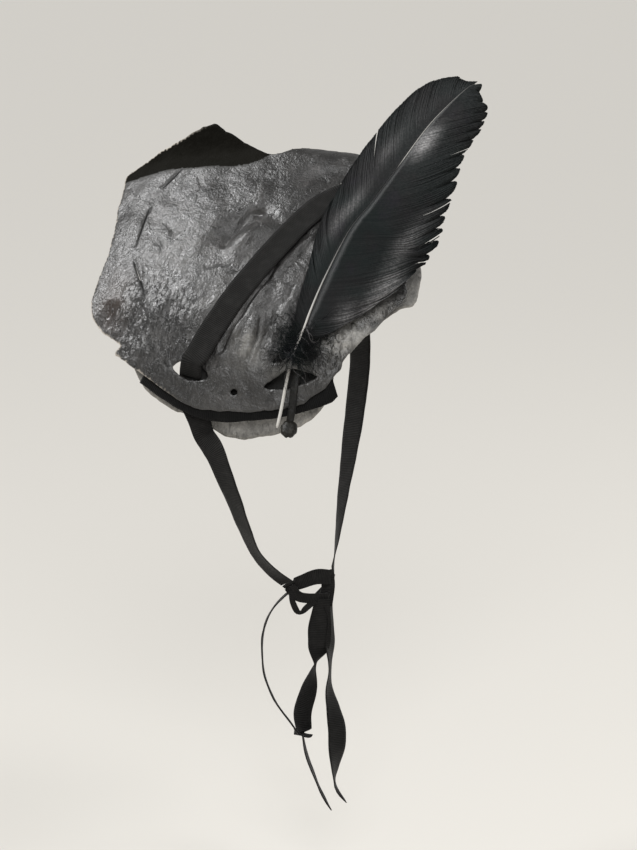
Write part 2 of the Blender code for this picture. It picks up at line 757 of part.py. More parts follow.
def make_quill_tie(material):
    rows = [Vector((*in_world(*row[1:]), *OUT, THONG_WIDTH)) for row in THONG]
    strap = tape("thong", rows, THONG_THICKNESS, spacing=3.0)
    mesh = bpy.data.meshes.new("stub")
    work = bmesh.new()
    bmesh.ops.create_uvsphere(work, u_segments=12, v_segments=8, radius=0.5)
    centre = in_world(*THONG[-1][1:]) - UP * 3
    for vert in work.verts:
        size = Vector(STUB_SIZE) * MM
        vert.co = centre * MM + in_world(vert.co.x * size.x, vert.co.y * size.y, vert.co.z * size.z)
    work.to_mesh(mesh)
    work.free()
    return fused("quill_tie", strap, [new_object("stub", mesh, hidden=True)], material)


def main():
    dark_leather = plain_material("aged_leather", (0.045, 0.044, 0.046), 0.55)
    under_leather = plain_material("under_leather", (0.06, 0.06, 0.06), 0.6)
    ribbon = plain_material("grosgrain_ribbon", (0.012, 0.012, 0.013), 0.7)
    band = plain_material("band_ribbon", (0.008, 0.008, 0.008), 0.8)
    plume = plain_material("black_feather", (0.02, 0.02, 0.022), 0.5)
    thong = plain_material("leather_thong", (0.03, 0.028, 0.024), 0.4)
    make_upper_leather(dark_leather)
    make_under_leather(under_leather)
    make_hat_band(band)
    make_crown_ribbon(ribbon)
    make_tie_right(ribbon)
    make_tie_left(ribbon)
    make_bow(ribbon)
    make_feather(plume)
    make_quill_tie(thong)


main()
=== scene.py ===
"""The looks of the leather hat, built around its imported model.

Lengths are in millimetres until a mesh is made. The hat has axes of its own: across towards the
wearer's face, up the sheet, and out of the crown. The wearer faces -Y and the hat sits on the
wearer's right, at -X.
"""

import math

import bpy
import numpy as np
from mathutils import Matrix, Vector, kdtree, noise
from mathutils.geometry import delaunay_2d_cdt


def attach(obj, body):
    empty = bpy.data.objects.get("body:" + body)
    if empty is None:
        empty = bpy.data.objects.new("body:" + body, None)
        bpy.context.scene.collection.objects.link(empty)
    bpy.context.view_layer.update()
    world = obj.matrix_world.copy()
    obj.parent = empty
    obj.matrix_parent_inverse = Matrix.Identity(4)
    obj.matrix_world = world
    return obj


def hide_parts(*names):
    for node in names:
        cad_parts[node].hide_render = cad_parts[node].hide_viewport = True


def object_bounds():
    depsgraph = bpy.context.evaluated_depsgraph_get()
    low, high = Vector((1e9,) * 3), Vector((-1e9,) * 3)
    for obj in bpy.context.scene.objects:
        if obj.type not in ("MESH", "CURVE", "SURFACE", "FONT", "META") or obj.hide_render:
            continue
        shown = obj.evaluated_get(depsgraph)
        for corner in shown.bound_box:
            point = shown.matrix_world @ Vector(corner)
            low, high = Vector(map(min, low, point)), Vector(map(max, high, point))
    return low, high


MM = 0.001
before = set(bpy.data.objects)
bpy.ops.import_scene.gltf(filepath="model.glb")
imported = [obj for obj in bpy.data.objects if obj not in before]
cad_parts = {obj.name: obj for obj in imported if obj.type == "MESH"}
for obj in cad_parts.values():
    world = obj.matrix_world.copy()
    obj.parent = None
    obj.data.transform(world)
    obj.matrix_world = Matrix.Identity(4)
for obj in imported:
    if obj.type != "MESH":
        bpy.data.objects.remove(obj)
CAD_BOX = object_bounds()
bpy.context.scene.view_settings.view_transform = "Standard"

# How the hat sits.
HAT_HEADING = -62.0
HAT_LEAN = 44.0

# Walls and clearances.
LEATHER = 1.6
RIBBON = 1.0
RIBBON_WIDTH = 16.0
JOIN_GAP = 1.1
RIBBON_GAP = 0.9

# The upper leather's form, as the radius of its curve on each side of the crown.
RADIUS_LOW = 100.0
RADIUS_HIGH = 700.0
RADIUS_BACK = 260.0
RADIUS_FRONT = 210.0
CROWN_RISE = 5.6

# The turned-up flap at the far edge, and the rolled edge beside it.
FLAP_LINE = 104.0
FLAP_SLOPE = 1.35
FLAP_ROUND = 7.0
FLAP_ENDS = (-16.0, 4.0)
FLAP_EDGE = [
    (-116, 92), (-104, 92), (-96, 93), (-81, 93.5), (-60, 92), (-40, 91), (-29, 91.5), (-19, 95),
    (-12, 101), (-8, 112),
]
ROLL_LINE = 97.0
ROLL_RADIUS = 15.0
ROLL_ENDS = (-14.0, 14.0)

# How the two sheets part from the place where they touch.
SEAT_ACROSS = -60.0
PARTING_ACROSS = 0.0007
PARTING_LOW = 0.0015
PARTING_HIGH = 0.0048
SHEET_GAP = 0.6

# Mesh spacing of the sheets, how clear of a crack other points stay, how ragged the edges are, and
# how the leather thins at its cut edge.
UPPER_CELL = 1.06
UNDER_CELL = 1.7
CRACK_CLEAR = 0.9
SAME_POINT = 1e-3
RAGGED = 0.7
EDGE_REACH = 0.05
EDGE_THINNED = 0.62

# The hat band.
BAND_WIDTH = 14.0
BAND_GAP = 0.9

# Outline of the upper leather: across, up.
UPPER_OUTLINE = [
    (-111, 100), (-98, 108), (-77, 115), (-56, 120.5), (-49, 119.5), (-32, 111), (-12, 101),
    (2, 107), (14, 114), (27, 114.5), (42, 110), (61, 97), (78, 78), (89, 56), (88, 36),
    (80, 10), (81, -2), (75, -13), (61, -32), (48, -47), (41, -58), (30, -70), (13, -77.5),
    (-8, -80), (-34, -79), (-54, -74.5), (-77, -60), (-97, -46), (-101, -42), (-98, -37),
    (-109, -29), (-120, -12), (-119, 10), (-113, 42), (-113, 70), (-112, 88),
]

# Outline of the under leather: across, up.
UNDER_OUTLINE = [
    (-89, 8), (-73, 36), (-42, 56), (-8, 62), (28, 57), (60, 51), (79, 46), (86, 36), (86, 14),
    (84, 3), (77, -3), (62, -20), (50, -32), (40, -48), (37, -60), (31, -70), (18, -80),
    (-3, -85.5), (-23, -87), (-36, -83), (-46, -77.5), (-61, -73), (-76, -65), (-86, -54),
    (-91, -38), (-92, -15),
]

# Dents and folds of the upper leather: name, across, up, heading, half length, half width, lift.
FOLDS = [
    ("crown dent", -28, 41, 38, 20, 6.5, -4.2),
    ("dent lip", -19, 30, 32, 15, 6.0, 2.0),
    ("strap trough", 6, 6, 61, 44, 7.0, -2.2),
    ("temple hollow", 24, -16, 70, 26, 9.0, -2.6),
    ("cheek fold", -13, -36, 76, 18, 4.0, 2.6),
    ("cheek furrow", -3, -38, 74, 18, 4.0, -2.0),
    ("front fold", 36, -24, 40, 20, 7.0, 2.6),
    ("brow swell", 56, -8, 35, 18, 9.0, 3.0),
    ("quill strip", 13.0, -57.8, 78, 7.5, 9.0, 6.2),
    ("back hollow", -108, -17, 60, 9, 5.0, -3.4),
    ("nape furrow", -88, -24, 66, 24, 5.0, -0.9),
    ("back fold", -76, -30, 70, 22, 5.0, 1.6),
    ("far dent", 22, 84, 20, 18, 9.0, -2.6),
    ("back rise", -98, 60, 80, 34, 12.0, 2.0),
]

# Finer folds that only show up close: across, up, heading, half length, half width, lift.
FINE_FOLDS = [
    (-17, 34, 52, 12, 4.0, 1.6),
    (-24, 24, 50, 12, 5.0, 1.2),
    (-34, 47, 30, 12, 3.0, -0.8),
    (-22, -42, 84, 14, 2.4, 0.9),
    (-12, -54, 80, 11, 1.6, 0.7),
    (4, -24, 62, 18, 1.8, -0.8),
    (12, -12, 66, 15, 1.7, 0.7),
    (30, -34, 48, 13, 1.8, 0.8),
    (40, -36, 40, 12, 1.6, -0.7),
    (50, -22, 32, 14, 1.8, -0.9),
    (62, -8, 28, 12, 1.6, 0.9),
    (66, 2, 20, 10, 1.5, -0.8),
    (70, 14, 30, 10, 1.8, 0.8),
    (-86, 10, 100, 18, 2.4, -0.7),
    (-100, -10, 70, 16, 2.2, 0.8),
    (-96, -30, 60, 10, 2.0, -0.7),
    (-60, -58, 60, 14, 2.4, 0.7),
    (30, 92, 10, 16, 3.0, 0.8),
    (-60, 92, 4, 30, 3.5, 0.8),
]

# Creases pressed into the upper leather: depth, half width, then the places they pass.
CREASES = [
    (2.4, 2.8, [(-14, 51), (-21, 52), (-24.5, 48), (-27, 41), (-32, 34), (-35, 26)]),
    (0.9, 1.1, [(-7.6, -29.7), (-9, -40), (-12.7, -49), (-13.8, -53)]),
    (0.5, 0.9, [(-10.4, -32.8), (-10.6, -41)]),
    (0.6, 1.0, [(-12.5, -58), (-13, -64.6), (-14, -70.7)]),
    (0.8, 1.3, [(10.7, -7.4), (10, -15), (4, -19.3), (1.2, -24), (0.4, -31)]),
    (0.6, 1.2, [(0.4, -70), (-2, -74.7), (-5, -78)]),
    (0.4, 0.8, [(8, -57.4), (6.7, -63.3)]),
    (0.4, 0.8, [(11.8, -57.5), (10.5, -63.8)]),
    (0.9, 1.3, [(36, -30.3), (44.8, -26.4), (51, -27.5), (55.5, -32.8)]),
    (0.8, 1.1, [(40.7, -29.4), (43.5, -38)]),
    (0.8, 1.1, [(48, -28), (49.6, -38.5)]),
    (0.5, 0.8, [(24.8, -56.5), (28.5, -59.5), (33.4, -60)]),
    (0.6, 1.4, [(27, 110.8), (32, 113.5)]),
    (0.5, 2.0, [(-77, 49), (-70, 39.5)]),
    (0.6, 1.2, [(-65, -28.6), (-65.7, -42.5), (-62.4, -54)]),
    (0.7, 1.4, [(20, -20), (17, -30), (20, -41)]),
    (0.6, 1.3, [(28, -8), (27, -20), (31, -30)]),
]

# The gap beside the crown ribbon, where the leather stands up against it.
RIBBON_GAP_LINE = [
    (22, 48.5), (12, 31.6), (6.7, 21.8), (1.2, 13.6), (-5, -1.6), (-15, -17.5), (-20.3, -29),
    (-27, -39.5), (-30.6, -48),
]

# Through cuts: name, across, up, heading, length, width at the middle.
STRAP_SLOTS = [
    ("ear slot", -50.5, -58, -18, 25, 9.5),
    ("crown slot", 42, 72, -45, 24, 10.0),
]
QUILL_SLITS = [
    ("quill entry", 11.5, -51.8, 18, 22, 6.6),
    ("quill exit", 12.8, -64.6, 12, 34, 7.0),
]
SLASHES = [
    ("far slash", -77.5, 86, 50, 18, 0.4),
    ("back slash", -92.5, 48, 81, 31, 0.4),
    ("low slash", -90, 8, 112, 28, 0.4),
]
LACE_HOLE = ("lace hole", -22.3, -70.0, -10, 4.48, 3.2)

# How far the lips of a slash reach, which are painted dark as shade, and how far the rim's painted
# highlight stays from any hole.
LIP = 0.7
RIM_CLEAR = 2.0
UNDER_SLOT = ("under ear slot", -60, -50, -14, 30, 12.0)

# Cracks that don't go through: depth, then the places that they pass, across and up.
CRACKS = [
    (0.9, [(-46.5, 10.5), (-44.8, 7.2), (-41.6, 7.7), (-36.5, 8.8), (-31.2, 7.6), (-28.9, 9.8)]),
    (0.6, [(-28.9, 3.6), (-24.3, 2.6)]),
    (0.8, [(-70.8, 93.4), (-75.8, 89.9), (-81.7, 82.8), (-85.3, 79.8)]),
    (0.8, [(-88, 64.5), (-88.9, 61.3), (-90.9, 56.5), (-93.3, 43.7), (-95.3, 32.9), (-97.3, 32.5)]),
    (0.6, [(-95.5, 23.7), (-91.8, 16.6), (-88.1, 4), (-84.9, -5.6), (-82.8, -5)]),
    (0.6, [(-95, -5.9), (-91.7, -10.9), (-89.1, -10), (-84.7, -14.6), (-81.1, -22.5), (-79.9, -26.9),
           (-77.3, -32.9)]),
    (0.5, [(-86.5, -15.7), (-87.3, -21.5), (-91.4, -28)]),
    (0.4, [(-82.4, -10.8), (-81.1, -22.5)]),
    (0.6, [(-82.3, 32.1), (-78.5, 29), (-76.4, 22.9)]),
    (0.5, [(-79.3, 34.8), (-76.1, 26.1)]),
    (0.5, [(-8.2, -30), (-9.2, -40), (-12.8, -49)]),
    (0.4, [(-16, 43), (-13.6, 38), (-14.2, 32.5)]),
    (0.6, [(21.6, 78.9), (23.9, 81.1), (25, 83.2)]),
    (0.6, [(22.4, 82.6), (23.9, 81.1), (24.6, 77.6)]),
    (0.3, [(-61.1, 71), (-58, 67.9), (-59.1, 61.2)]),
]

# Where the leather is fibrous and finely wrinkled: across, up, reach across, reach up, heading.
WRINKLED = [
    (-82, -34, 32, 34, 84),
    (-58, -50, 26, 24, 86),
    (22, -44, 24, 20, 60),
    (64, -2, 18, 22, 30),
]

# Where the upper leather is painted paler as a highlight: across, up, reach across, reach up, amount.
HIGHLIGHT_PATCHES = [
    (-14, -47, 8, 9, 0.6),
    (54, -36, 14, 8, 1.1),
    (40, -44, 9, 6, 0.6),
    (67, -18, 11, 8, 0.5),
    (14, -59, 16, 5, 0.35),
    (-62, 28, 20, 18, 0.12),
    (-38, -12, 14, 20, 0.1),
]

# Middle line of the hat band, from the nape to the temple: across, up.
BAND_LINE = [
    (-80, -54), (-65, -64), (-50, -72), (-33, -76.5), (-12, -76.5), (6, -74.5), (23, -70.5), (41, -63.5),
]

# Middle line of the crown ribbon, from the ear slot to the crown slot: across, up.
RIBBON_LINE = [(-50.5, -58), (-35, -33.2), (-18, -6), (-1, 21.2), (13, 43), (26, 59), (42, 72)]
RIBBON_SEATS = 14
SEAT_ROUNDS = 40

# How the crown ribbon goes down through a slot: distance past its middle, height over the leather.
RIBBON_DIVE = [(-5.6, 2.3), (-3.4, 1.6), (0.0, -0.2), (3.6, -3.0)]
DIVE_REACH = 9.5
DIVE_WIDTH = 14.0

# The chin ties and the bow: x, y, z, the way the face looks (heading, rise), width.
TIE_START = [(-52.2, -65.4, 2.2), (-50.0, -71.0, 0.9), (-45.8, -77.5, 0.9), (-42.0, -84.5, 1.6)]
TIE_RIGHT = [
    (-46.6, 14.6, -102.8, -92, 2, 16),
    (-44.3, 8.4, -119.1, -98, -8, 16),
    (-39.6, 5.0, -134.3, -102, -22, 16),
    (-31.2, 4.4, -151.4, -108, -34, 15),
    (-19.3, 6.3, -167.9, -116, -44, 14),
    (-4.5, 8.5, -181.9, -98, -48, 13),
    (11.1, 10.4, -193.7, -75, -45, 11),
    (24.7, 10.7, -202.9, -60, -30, 9),
]
TIE_LEFT = [
    (75.2, -12.8, 48.3, 62, 64, 15),
    (82.5, -8.5, 41.5, 68, 52, 16),
    (90, -2.5, 25, 82, 34, 16),
    (96.5, 5, 2, 88, 20, 16),
    (106, 10, -30, 90, 10, 16),
    (112, 13, -70, 90, -3, 16),
    (107, 15, -112, 82, -14, 16),
    (92, 12, -152, 62, -22, 14),
    (74, 5, -182, 30, -30, 11),
    (58, -2.5, -199.5, 0, -20, 9),
]
KNOT_BAND = [
    (25.55, 10.6, -203.5, -60, -30, 9),
    (29.3, 9.8, -205.0, -58, -16, 9),
    (34.5, 6.0, -203.5, -55, 0, 9),
    (43.0, 0.0, -201.0, -45, 4, 10),
    (51.5, -4.8, -202.5, -20, -8, 10),
    (55.6, -3.6, -202.3, -4, -18, 9),
    (57.2, -2.9, -200.5, 0, -20, 9),
]
KNOT_TURN = [
    (50.2, -3.0, -198.0, -40, 10, 9),
    (51.6, -3.2, -209.0, -50, 0, 9),
    (47.6, -4.4, -221.0, -55, -10, 8),
]
KNOT_BAR = [
    (27.5, 10.4, -206.0, -60, 0, 8),
    (33.0, 6.0, -213.4, -55, -10, 7),
    (49.5, -5.6, -216.5, -55, 0, 7),
]
KNOT_LOOP = [
    (28.6, 9.8, -208.0, -40, 0, 4),
    (28.4, 9.0, -216.0, -20, 0, 4),
    (31.8, 6.2, -223.6, -50, -40, 4),
    (37.5, 2.6, -220.0, -50, 0, 4),
    (42.0, 0.0, -216.5, -55, 0, 4),
]
BOW_LOOP = [
    (35.0, 9.0, -206.5, -145, 20, 8),
    (25.5, 18.6, -217.2, -145, 12, 12),
    (18.8, 23.4, -230.0, -145, 4, 14),
    (14.7, 23.8, -244.7, -145, 0, 16),
    (12.4, 20.6, -262.0, -142, -8, 16),
    (13.0, 13.8, -278.0, -138, -22, 16),
    (15.8, 5.4, -290.2, -130, -45, 15),
    (20.8, -1.6, -302.5, -110, -70, 13),
    (27.0, -1.2, -303.5, -70, -50, 12),
    (30.0, 2.0, -291.0, -84, 0, 13),
    (34.4, 0.0, -276.3, -96, 0, 13),
    (38.4, -2.0, -261.2, -140, 0, 13),
    (41.6, -2.9, -246.8, -218, 0, 15),
    (43.4, -2.5, -233.6, -232, 0, 15),
    (45.5, -3.0, -216.0, -230, 0, 9),
]
FRONT_END = [
    (48.6, -3.0, -213.0, -20, 0, 8),
    (51.5, -4.9, -228.3, 22, 0, 12),
    (51.8, -4.6, -245.6, 12, 0, 15),
    (48.6, -6.7, -263.7, 30, 0, 16),
    (44.3, -9.1, -277.2, 18, 0, 16),
    (42.3, -13.8, -288.2, 2, 0, 16),
    (39.8, -18.4, -300.5, -10, 0, 16),
    (37.5, -20.0, -313.3, -8, 0, 16),
    (35.4, -20.1, -326.5, 18, 0, 16),
    (33.5, -21.4, -337.5, 34, 0, 16),
    (33.4, -26.3, -351.0, 4, 0, 14),
]
BACK_END = [
    (46.0, 0.5, -211.0, 0, 0, 8),
    (52.0, 5.0, -228.0, 30, 0, 12),
    (52.5, 5.4, -247.0, 35, 0, 16),
    (49.0, 6.3, -265.4, 35, 0, 16),
    (43.2, 7.9, -283.6, 38, 0, 16),
    (37.5, 7.9, -300.8, 35, 0, 16),
    (34.1, 3.9, -315.0, 32, 0, 16),
    (33.4, -2.2, -329.6, 30, 0, 16),
    (33.5, -9.4, -343.5, 33, 0, 16),
    (34.1, -17.1, -357.4, 28, 0, 14),
]
END_SLANT = 12.0

# The feather's shaft, from the cut quill to the tip: across, up, out.
SHAFT = [
    (5.8, -91.3, -27.0), (7.9, -81.5, -22.2), (9.9, -69.5, -16.1), (10.9, -64.6, -13.3),
    (12.2, -58.5, -9.8), (13.4, -54.2, -7.3), (14.3, -51.2, -5.4), (16.4, -46.0, -2.3),
    (20.3, -36.8, 2.0), (24.0, -24.6, 5.4), (31.5, -1.5, 9.0), (44.2, 33.1, 11.0),
    (56.0, 52.8, 12.0), (71.3, 80.1, 14.0), (87.3, 109.3, 16.0), (100.0, 127.5, 17.0),
    (111.5, 142.0, 17.0), (116.5, 146.0, 16.5),
]

# The shaft's radius by share of its length.
SHAFT_RADIUS = [
    (0, 1.05), (0.12, 0.95), (0.2, 0.8), (0.26, 0.7), (0.34, 0.52), (0.44, 0.4), (0.52, 0.2),
    (0.68, 0.18), (0.74, 0.34), (0.85, 0.34), (1, 0.15),
]
SHAFT_SHARES = 161
SHAFT_SIDES = 10
TIP_REACH = 40.0
LEAST_SHARE = 0.215

# The vane by share of the shaft: on the wearer's back side and then on the face side, how far its
# barbs reach from the shaft, and the angle that they start and end at.
VANE = [
    (0.20, 7, 70, 35, 14, 88, 40),
    (0.225, 8, 62, 30, 26, 86, 28),
    (0.25, 10, 55, 28, 38, 82, 20),
    (0.30, 12, 45, 25, 49, 78, 14),
    (0.36, 18, 40, 24, 49, 71, 15),
    (0.44, 25, 38, 24, 44, 70, 17),
    (0.52, 27.5, 37, 24, 39, 64, 18),
    (0.60, 27, 36, 24, 34, 56, 20),
    (0.68, 26, 36, 24, 30, 50, 22),
    (0.76, 24.5, 37, 25, 27, 46, 22),
    (0.84, 19.5, 38, 26, 22, 44, 26),
    (0.91, 12, 37, 26, 15, 42, 30),
    (0.96, 4.5, 32, 24, 7, 34, 34),
    (1.00, 0.5, 14, 8, 0.5, 14, 8),
]
BACK_CUP = 320.0
FACE_CUP = 170.0
VANE_GAP = 0.4
BARB_COUNT = 2500
BARB_STEPS = 13
BARB_WIDTH = 0.5
VANE_RIDGE = 0.18
BACK_LOCKS = 12
FACE_LOCKS = 22
BACK_LOCK_DEPTH = 0.01
FACE_LOCK_DEPTH = 0.1

# The down at the foot of the vane: where on the shaft it starts, and its strands' lengths.
DOWN_COUNT = 760
DOWN_STEPS = 15
DOWN_SHARES = (0.15, 0.255)
DOWN_LENGTHS = (7, 25)
DOWN_WIDTH = 0.36
DOWN_RIDGE = 0.5
DOWN_GAP = 0.3

# Places where the vane has parted: side, share of the shaft, opening in degrees.
SPLITS = [
    (1, 0.60, 2.2), (1, 0.42, 2.0),
    (-1, 0.69, 1.5), (-1, 0.52, 2.0), (-1, 0.43, 3.0), (-1, 0.345, 4.0), (-1, 0.275, 6.0),
]

# Where the vane is painted paler as sheen, a painted highlight: side, share of the shaft, reach from it,
# size along it and across, amount.
SHEEN_PATCHES = [
    (-1, 0.797, 5.2, 12.0, 4.5, 1.0),
    (1, 0.549, 9.3, 17.0, 3.6, 0.34),
    (1, 0.744, 12.9, 13.0, 3.4, 0.2),
    (-1, 0.539, 35.0, 20.0, 5.0, 0.35),
    (-1, 0.40, 40.0, 14.0, 7.0, 0.5),
    (-1, 0.33, 36.0, 14.0, 6.0, 0.5),
    (-1, 0.29, 22.0, 9.0, 5.0, 0.35),
]

# How pale the shaft is, by share of its length: painted dark as shade in its middle, where the barbs cover
# it.
SHAFT_TONE = [
    (0, 0.7), (0.12, 0.6), (0.2, 0.6), (0.25, 0.6), (0.33, 0.42), (0.42, 0.15), (0.5, 0.03),
    (0.58, 0.01), (0.7, 0.01), (0.73, 0.45), (0.88, 0.3), (1, 0.08),
]

# The leather thong beside the quill: across, up, out.
THONG = [
    (17.2, -58.5, -11.4),
    (16.4, -63.6, -12.8),
    (15.9, -67.3, -14.3),
    (15.4, -71.5, -17.1),
    (14.6, -79.0, -22.3),
    (13.0, -88.0, -28.5),
]
THONG_WIDTH = 4.6
THONG_THICKNESS = 1.26
ROLL_SIZE = (11.0, 13.0, 8.0)

# The camera: where it looks from, and the photograph's scale and framing.
CAMERA_AZIMUTH = -55.0
CAMERA_RISE = 12.0
CAMERA_DISTANCE = 1600.0
PHOTO = (637, 850)
PIXELS_PER_MM = 1.6
ORIGIN_PIXEL = (277.0, 281.0)
SENSOR = 36.0

# The floor, in metres from its middle to each side, and how far below the hat it lies.
FLOOR_REACH = 40.0
FLOOR_DROP = 60.0
FLOOR_COLOUR = (0.62, 0.6, 0.56, 1)
SKY_COLOUR = (0.9, 0.89, 0.87, 1)
SKY_STRENGTH = 0.3

# The key light is soft and far off: the way to it as right, up and towards the camera, its angle
# and its strength.
KEY_WAY = (-0.64, 0.76, 0.10)
KEY_ANGLE = 20.0
KEY_STRENGTH = 3.2

# Soft panels: name, how far right, up and towards the camera in metres, width, watts.
PANELS = [
    ("brow", 0.9, 1.55, 0.95, 0.5, 8),
    ("front", 0.0, 0.68, 1.77, 0.7, 16),
    ("edge", 1.6, 0.5, -1.1, 0.6, 3),
]

# Leathers: name, dark, middle and light colour, roughness, gloss.
UPPER_LOOK = (
    "aged_leather_look", (0.01, 0.0095, 0.009), (0.024, 0.023, 0.022), (0.058, 0.055, 0.053), 0.355, 0.68
)
# The turned-up flap's faces: matt, and carrying the flap's painted shade.
FLAP_LOOK = (
    "matt_flap_shade_look", (0.018, 0.017, 0.017), (0.043, 0.041, 0.04), (0.08, 0.077, 0.075), 0.6, 0.1
)
UNDER_LOOK = (
    "under_leather_look", (0.1, 0.096, 0.09), (0.19, 0.184, 0.172), (0.3, 0.29, 0.27), 0.5, 0.65
)
THONG_LOOK = (
    "thong_look", (0.002, 0.002, 0.002), (0.007, 0.0065, 0.005), (0.02, 0.018, 0.012), 0.45, 0.25
)

# What the leather's material reads at each point: how wrinkled it is, how much it is the flap, whose
# face is painted dark as shade, how much painted highlight it has, how rusty, how much painted shade
# it has in cracks, slash lips and covered places, and whether it is the cut rim, painted pale as a
# highlight.
LEATHER_VALUES = ("wrinkled", "flap", "rubbed", "rust", "crack", "rim")


def direction(heading, rise):
    """The level direction at a heading, 0 being -Y and 90 being +X, lifted by rise degrees."""
    turn, lift = math.radians(heading), math.radians(rise)
    return Vector((math.sin(turn) * math.cos(lift), -math.cos(turn) * math.cos(lift), math.sin(lift)))


OUT = direction(HAT_HEADING, HAT_LEAN)
UP = (Vector((0, 0, 1)) - OUT * OUT.z).normalized()
ACROSS = UP.cross(OUT)
HAT_AXES = np.array([ACROSS, UP, OUT])


def in_world(across, up, out):
    """Places in millimetres in the world, one row each."""
    return np.stack(np.broadcast_arrays(across, up, out), axis=-1) @ HAT_AXES


def smooth(value, start, end):
    """0 at start, 1 at end, and level at both."""
    share = np.clip((value - start) / (end - start), 0.0, 1.0)
    return share * share * (3 - 2 * share)


def crown_form(across, up):
    """Height of the upper leather's middle, without its dents."""
    height = CROWN_RISE - up * up / (2 * np.where(up < 0, RADIUS_LOW, RADIUS_HIGH))
    height = height - across * across / (2 * np.where(across < 0, RADIUS_BACK, RADIUS_FRONT))
    past = np.maximum(up - FLAP_LINE, 0.0)
    rise = np.hypot(past, FLAP_ROUND) - FLAP_ROUND
    height = height + FLAP_SLOPE * rise * smooth(across, FLAP_ENDS[1], FLAP_ENDS[0])
    past = np.maximum(up - ROLL_LINE, 0.0)
    return height - past * past / (2 * ROLL_RADIUS) * smooth(across, *ROLL_ENDS)


def fold_lift(folds, across, up):
    """What a table of dents and folds adds."""
    lift = np.zeros(np.broadcast(across, up).shape)
    for centre_across, centre_up, heading, half_length, half_width, amount in folds:
        turn = math.radians(heading)
        dx, dy = across - centre_across, up - centre_up
        along = (dx * math.cos(turn) + dy * math.sin(turn)) / half_length
        aside = (dy * math.cos(turn) - dx * math.sin(turn)) / half_width
        lift = lift + amount * np.exp(-along**4 - aside * aside)
    return lift


def upper_height(across, up):
    """Height of the upper leather's middle, with its dents and folds."""
    return crown_form(across, up) + fold_lift([row[1:] for row in FOLDS], across, up)


def under_height(across, up):
    """Height of the under leather's middle, which closes on the head below the upper one."""
    parting = SHEET_GAP + PARTING_ACROSS * (across - SEAT_ACROSS) ** 2
    parting = parting + np.where(up < 0, PARTING_LOW, PARTING_HIGH) * up * up
    return crown_form(across, up) - LEATHER - parting


def grain(across, up, size, stretch=1.0, heading=0.0, seed=0.0):
    """Smooth noise from -1 to 1, drawn out along a heading."""
    turn = math.radians(heading)
    x = (across * math.cos(turn) + up * math.sin(turn)) / (size * stretch) + 50.3
    y = (up * math.cos(turn) - across * math.sin(turn)) / size + 70.7
    corner_x, corner_y = np.floor(x), np.floor(y)
    total = np.zeros(np.shape(x))
    for i in (0, 1):
        for j in (0, 1):
            mixed = np.sin((corner_x + i) * 127.1 + (corner_y + j) * 311.7 + seed * 74.7) * 43758.5453
            angle = 2 * math.pi * (mixed - np.floor(mixed))
            dx, dy = x - corner_x - i, y - corner_y - j
            near_x, near_y = 1 - np.abs(dx), 1 - np.abs(dy)
            weight = near_x**2 * (3 - 2 * near_x) * near_y**2 * (3 - 2 * near_y)
            total = total + weight * (np.cos(angle) * dx + np.sin(angle) * dy)
    return np.clip(1.7 * total, -1, 1)


def line_distance(across, up, places):
    """How far each place is from a line of straight stretches."""
    far = np.full(np.shape(across), 1e6)
    for (ax, ay), (bx, by) in zip(places, places[1:]):
        dx, dy = bx - ax, by - ay
        t = np.clip(((across - ax) * dx + (up - ay) * dy) / (dx * dx + dy * dy), 0, 1)
        far = np.minimum(far, np.hypot(across - ax - t * dx, up - ay - t * dy))
    return far


def wrinkled(across, up):
    """How wrinkled the leather is at a place, 0 to 1, and the wrinkles' lift."""
    most = np.zeros(len(across))
    lift = np.zeros(len(across))
    for i, (centre_across, centre_up, reach_across, reach_up, heading) in enumerate(WRINKLED):
        far = ((across - centre_across) / reach_across) ** 2 + ((up - centre_up) / reach_up) ** 2
        share = np.exp(-far * far)
        sway = 1.6 * grain(across, up, 11.0, seed=27.0 + i)
        coarse = grain(across + sway, up, 3.8, 5.0, heading, seed=7.0 + i)
        fine = grain(across + sway, up, 2.1, 4.0, heading + 8, seed=17.0 + i)
        lift += share * (1.0 * (0.4 - np.abs(coarse) ** 0.7) + 0.25 * fine)
        most = np.maximum(most, share)
    return most, lift


def upper_detail(across, up):
    """The small lifts of the upper leather's surface."""
    lift = fold_lift(FINE_FOLDS, across, up)
    lift += 0.9 * grain(across, up, 44.0) + 0.6 * grain(across, up, 21.0, seed=3.0)
    lift += 0.22 * grain(across, up, 9.0, seed=5.0) + 0.05 * grain(across, up, 4.0, seed=6.0)
    warped = across + 5.0 * grain(across, up, 16.0, seed=11.0)
    for size, depth, seed in ((26.0, 0.45, 12.0), (15.0, 0.25, 14.0), (8.5, 0.12, 16.0)):
        line = grain(warped, up, size, seed=seed)
        amount = np.clip(0.2 + grain(across, up, 1.6 * size, seed=seed + 1), 0, 1)
        lift -= depth * amount * np.exp(-((line / 0.12) ** 2))
    for depth, half_width, places in CREASES:
        lift -= depth * np.exp(-((line_distance(across, up, places) / half_width) ** 2))
    under_ribbon = np.exp(-((line_distance(across, up, RIBBON_LINE) / 9.0) ** 6))
    lift = lift * (1 - 0.75 * under_ribbon)
    beside = line_distance(across, up, RIBBON_GAP_LINE)
    ragged = 0.7 + 0.6 * grain(across, up, 9.0, seed=19.0)
    lift -= 1.2 * np.exp(-((beside / 1.3) ** 2))
    lift += 1.5 * ragged * np.exp(-(((beside - 3.6) / 2.0) ** 2)) * (1 - under_ribbon)
    return lift + wrinkled(across, up)[1]


def under_detail(across, up):
    """The small lifts of the under leather's surface."""
    return 0.35 * grain(across, up, 24.0, seed=31.0) + 0.16 * grain(across, up, 8.0, seed=33.0)


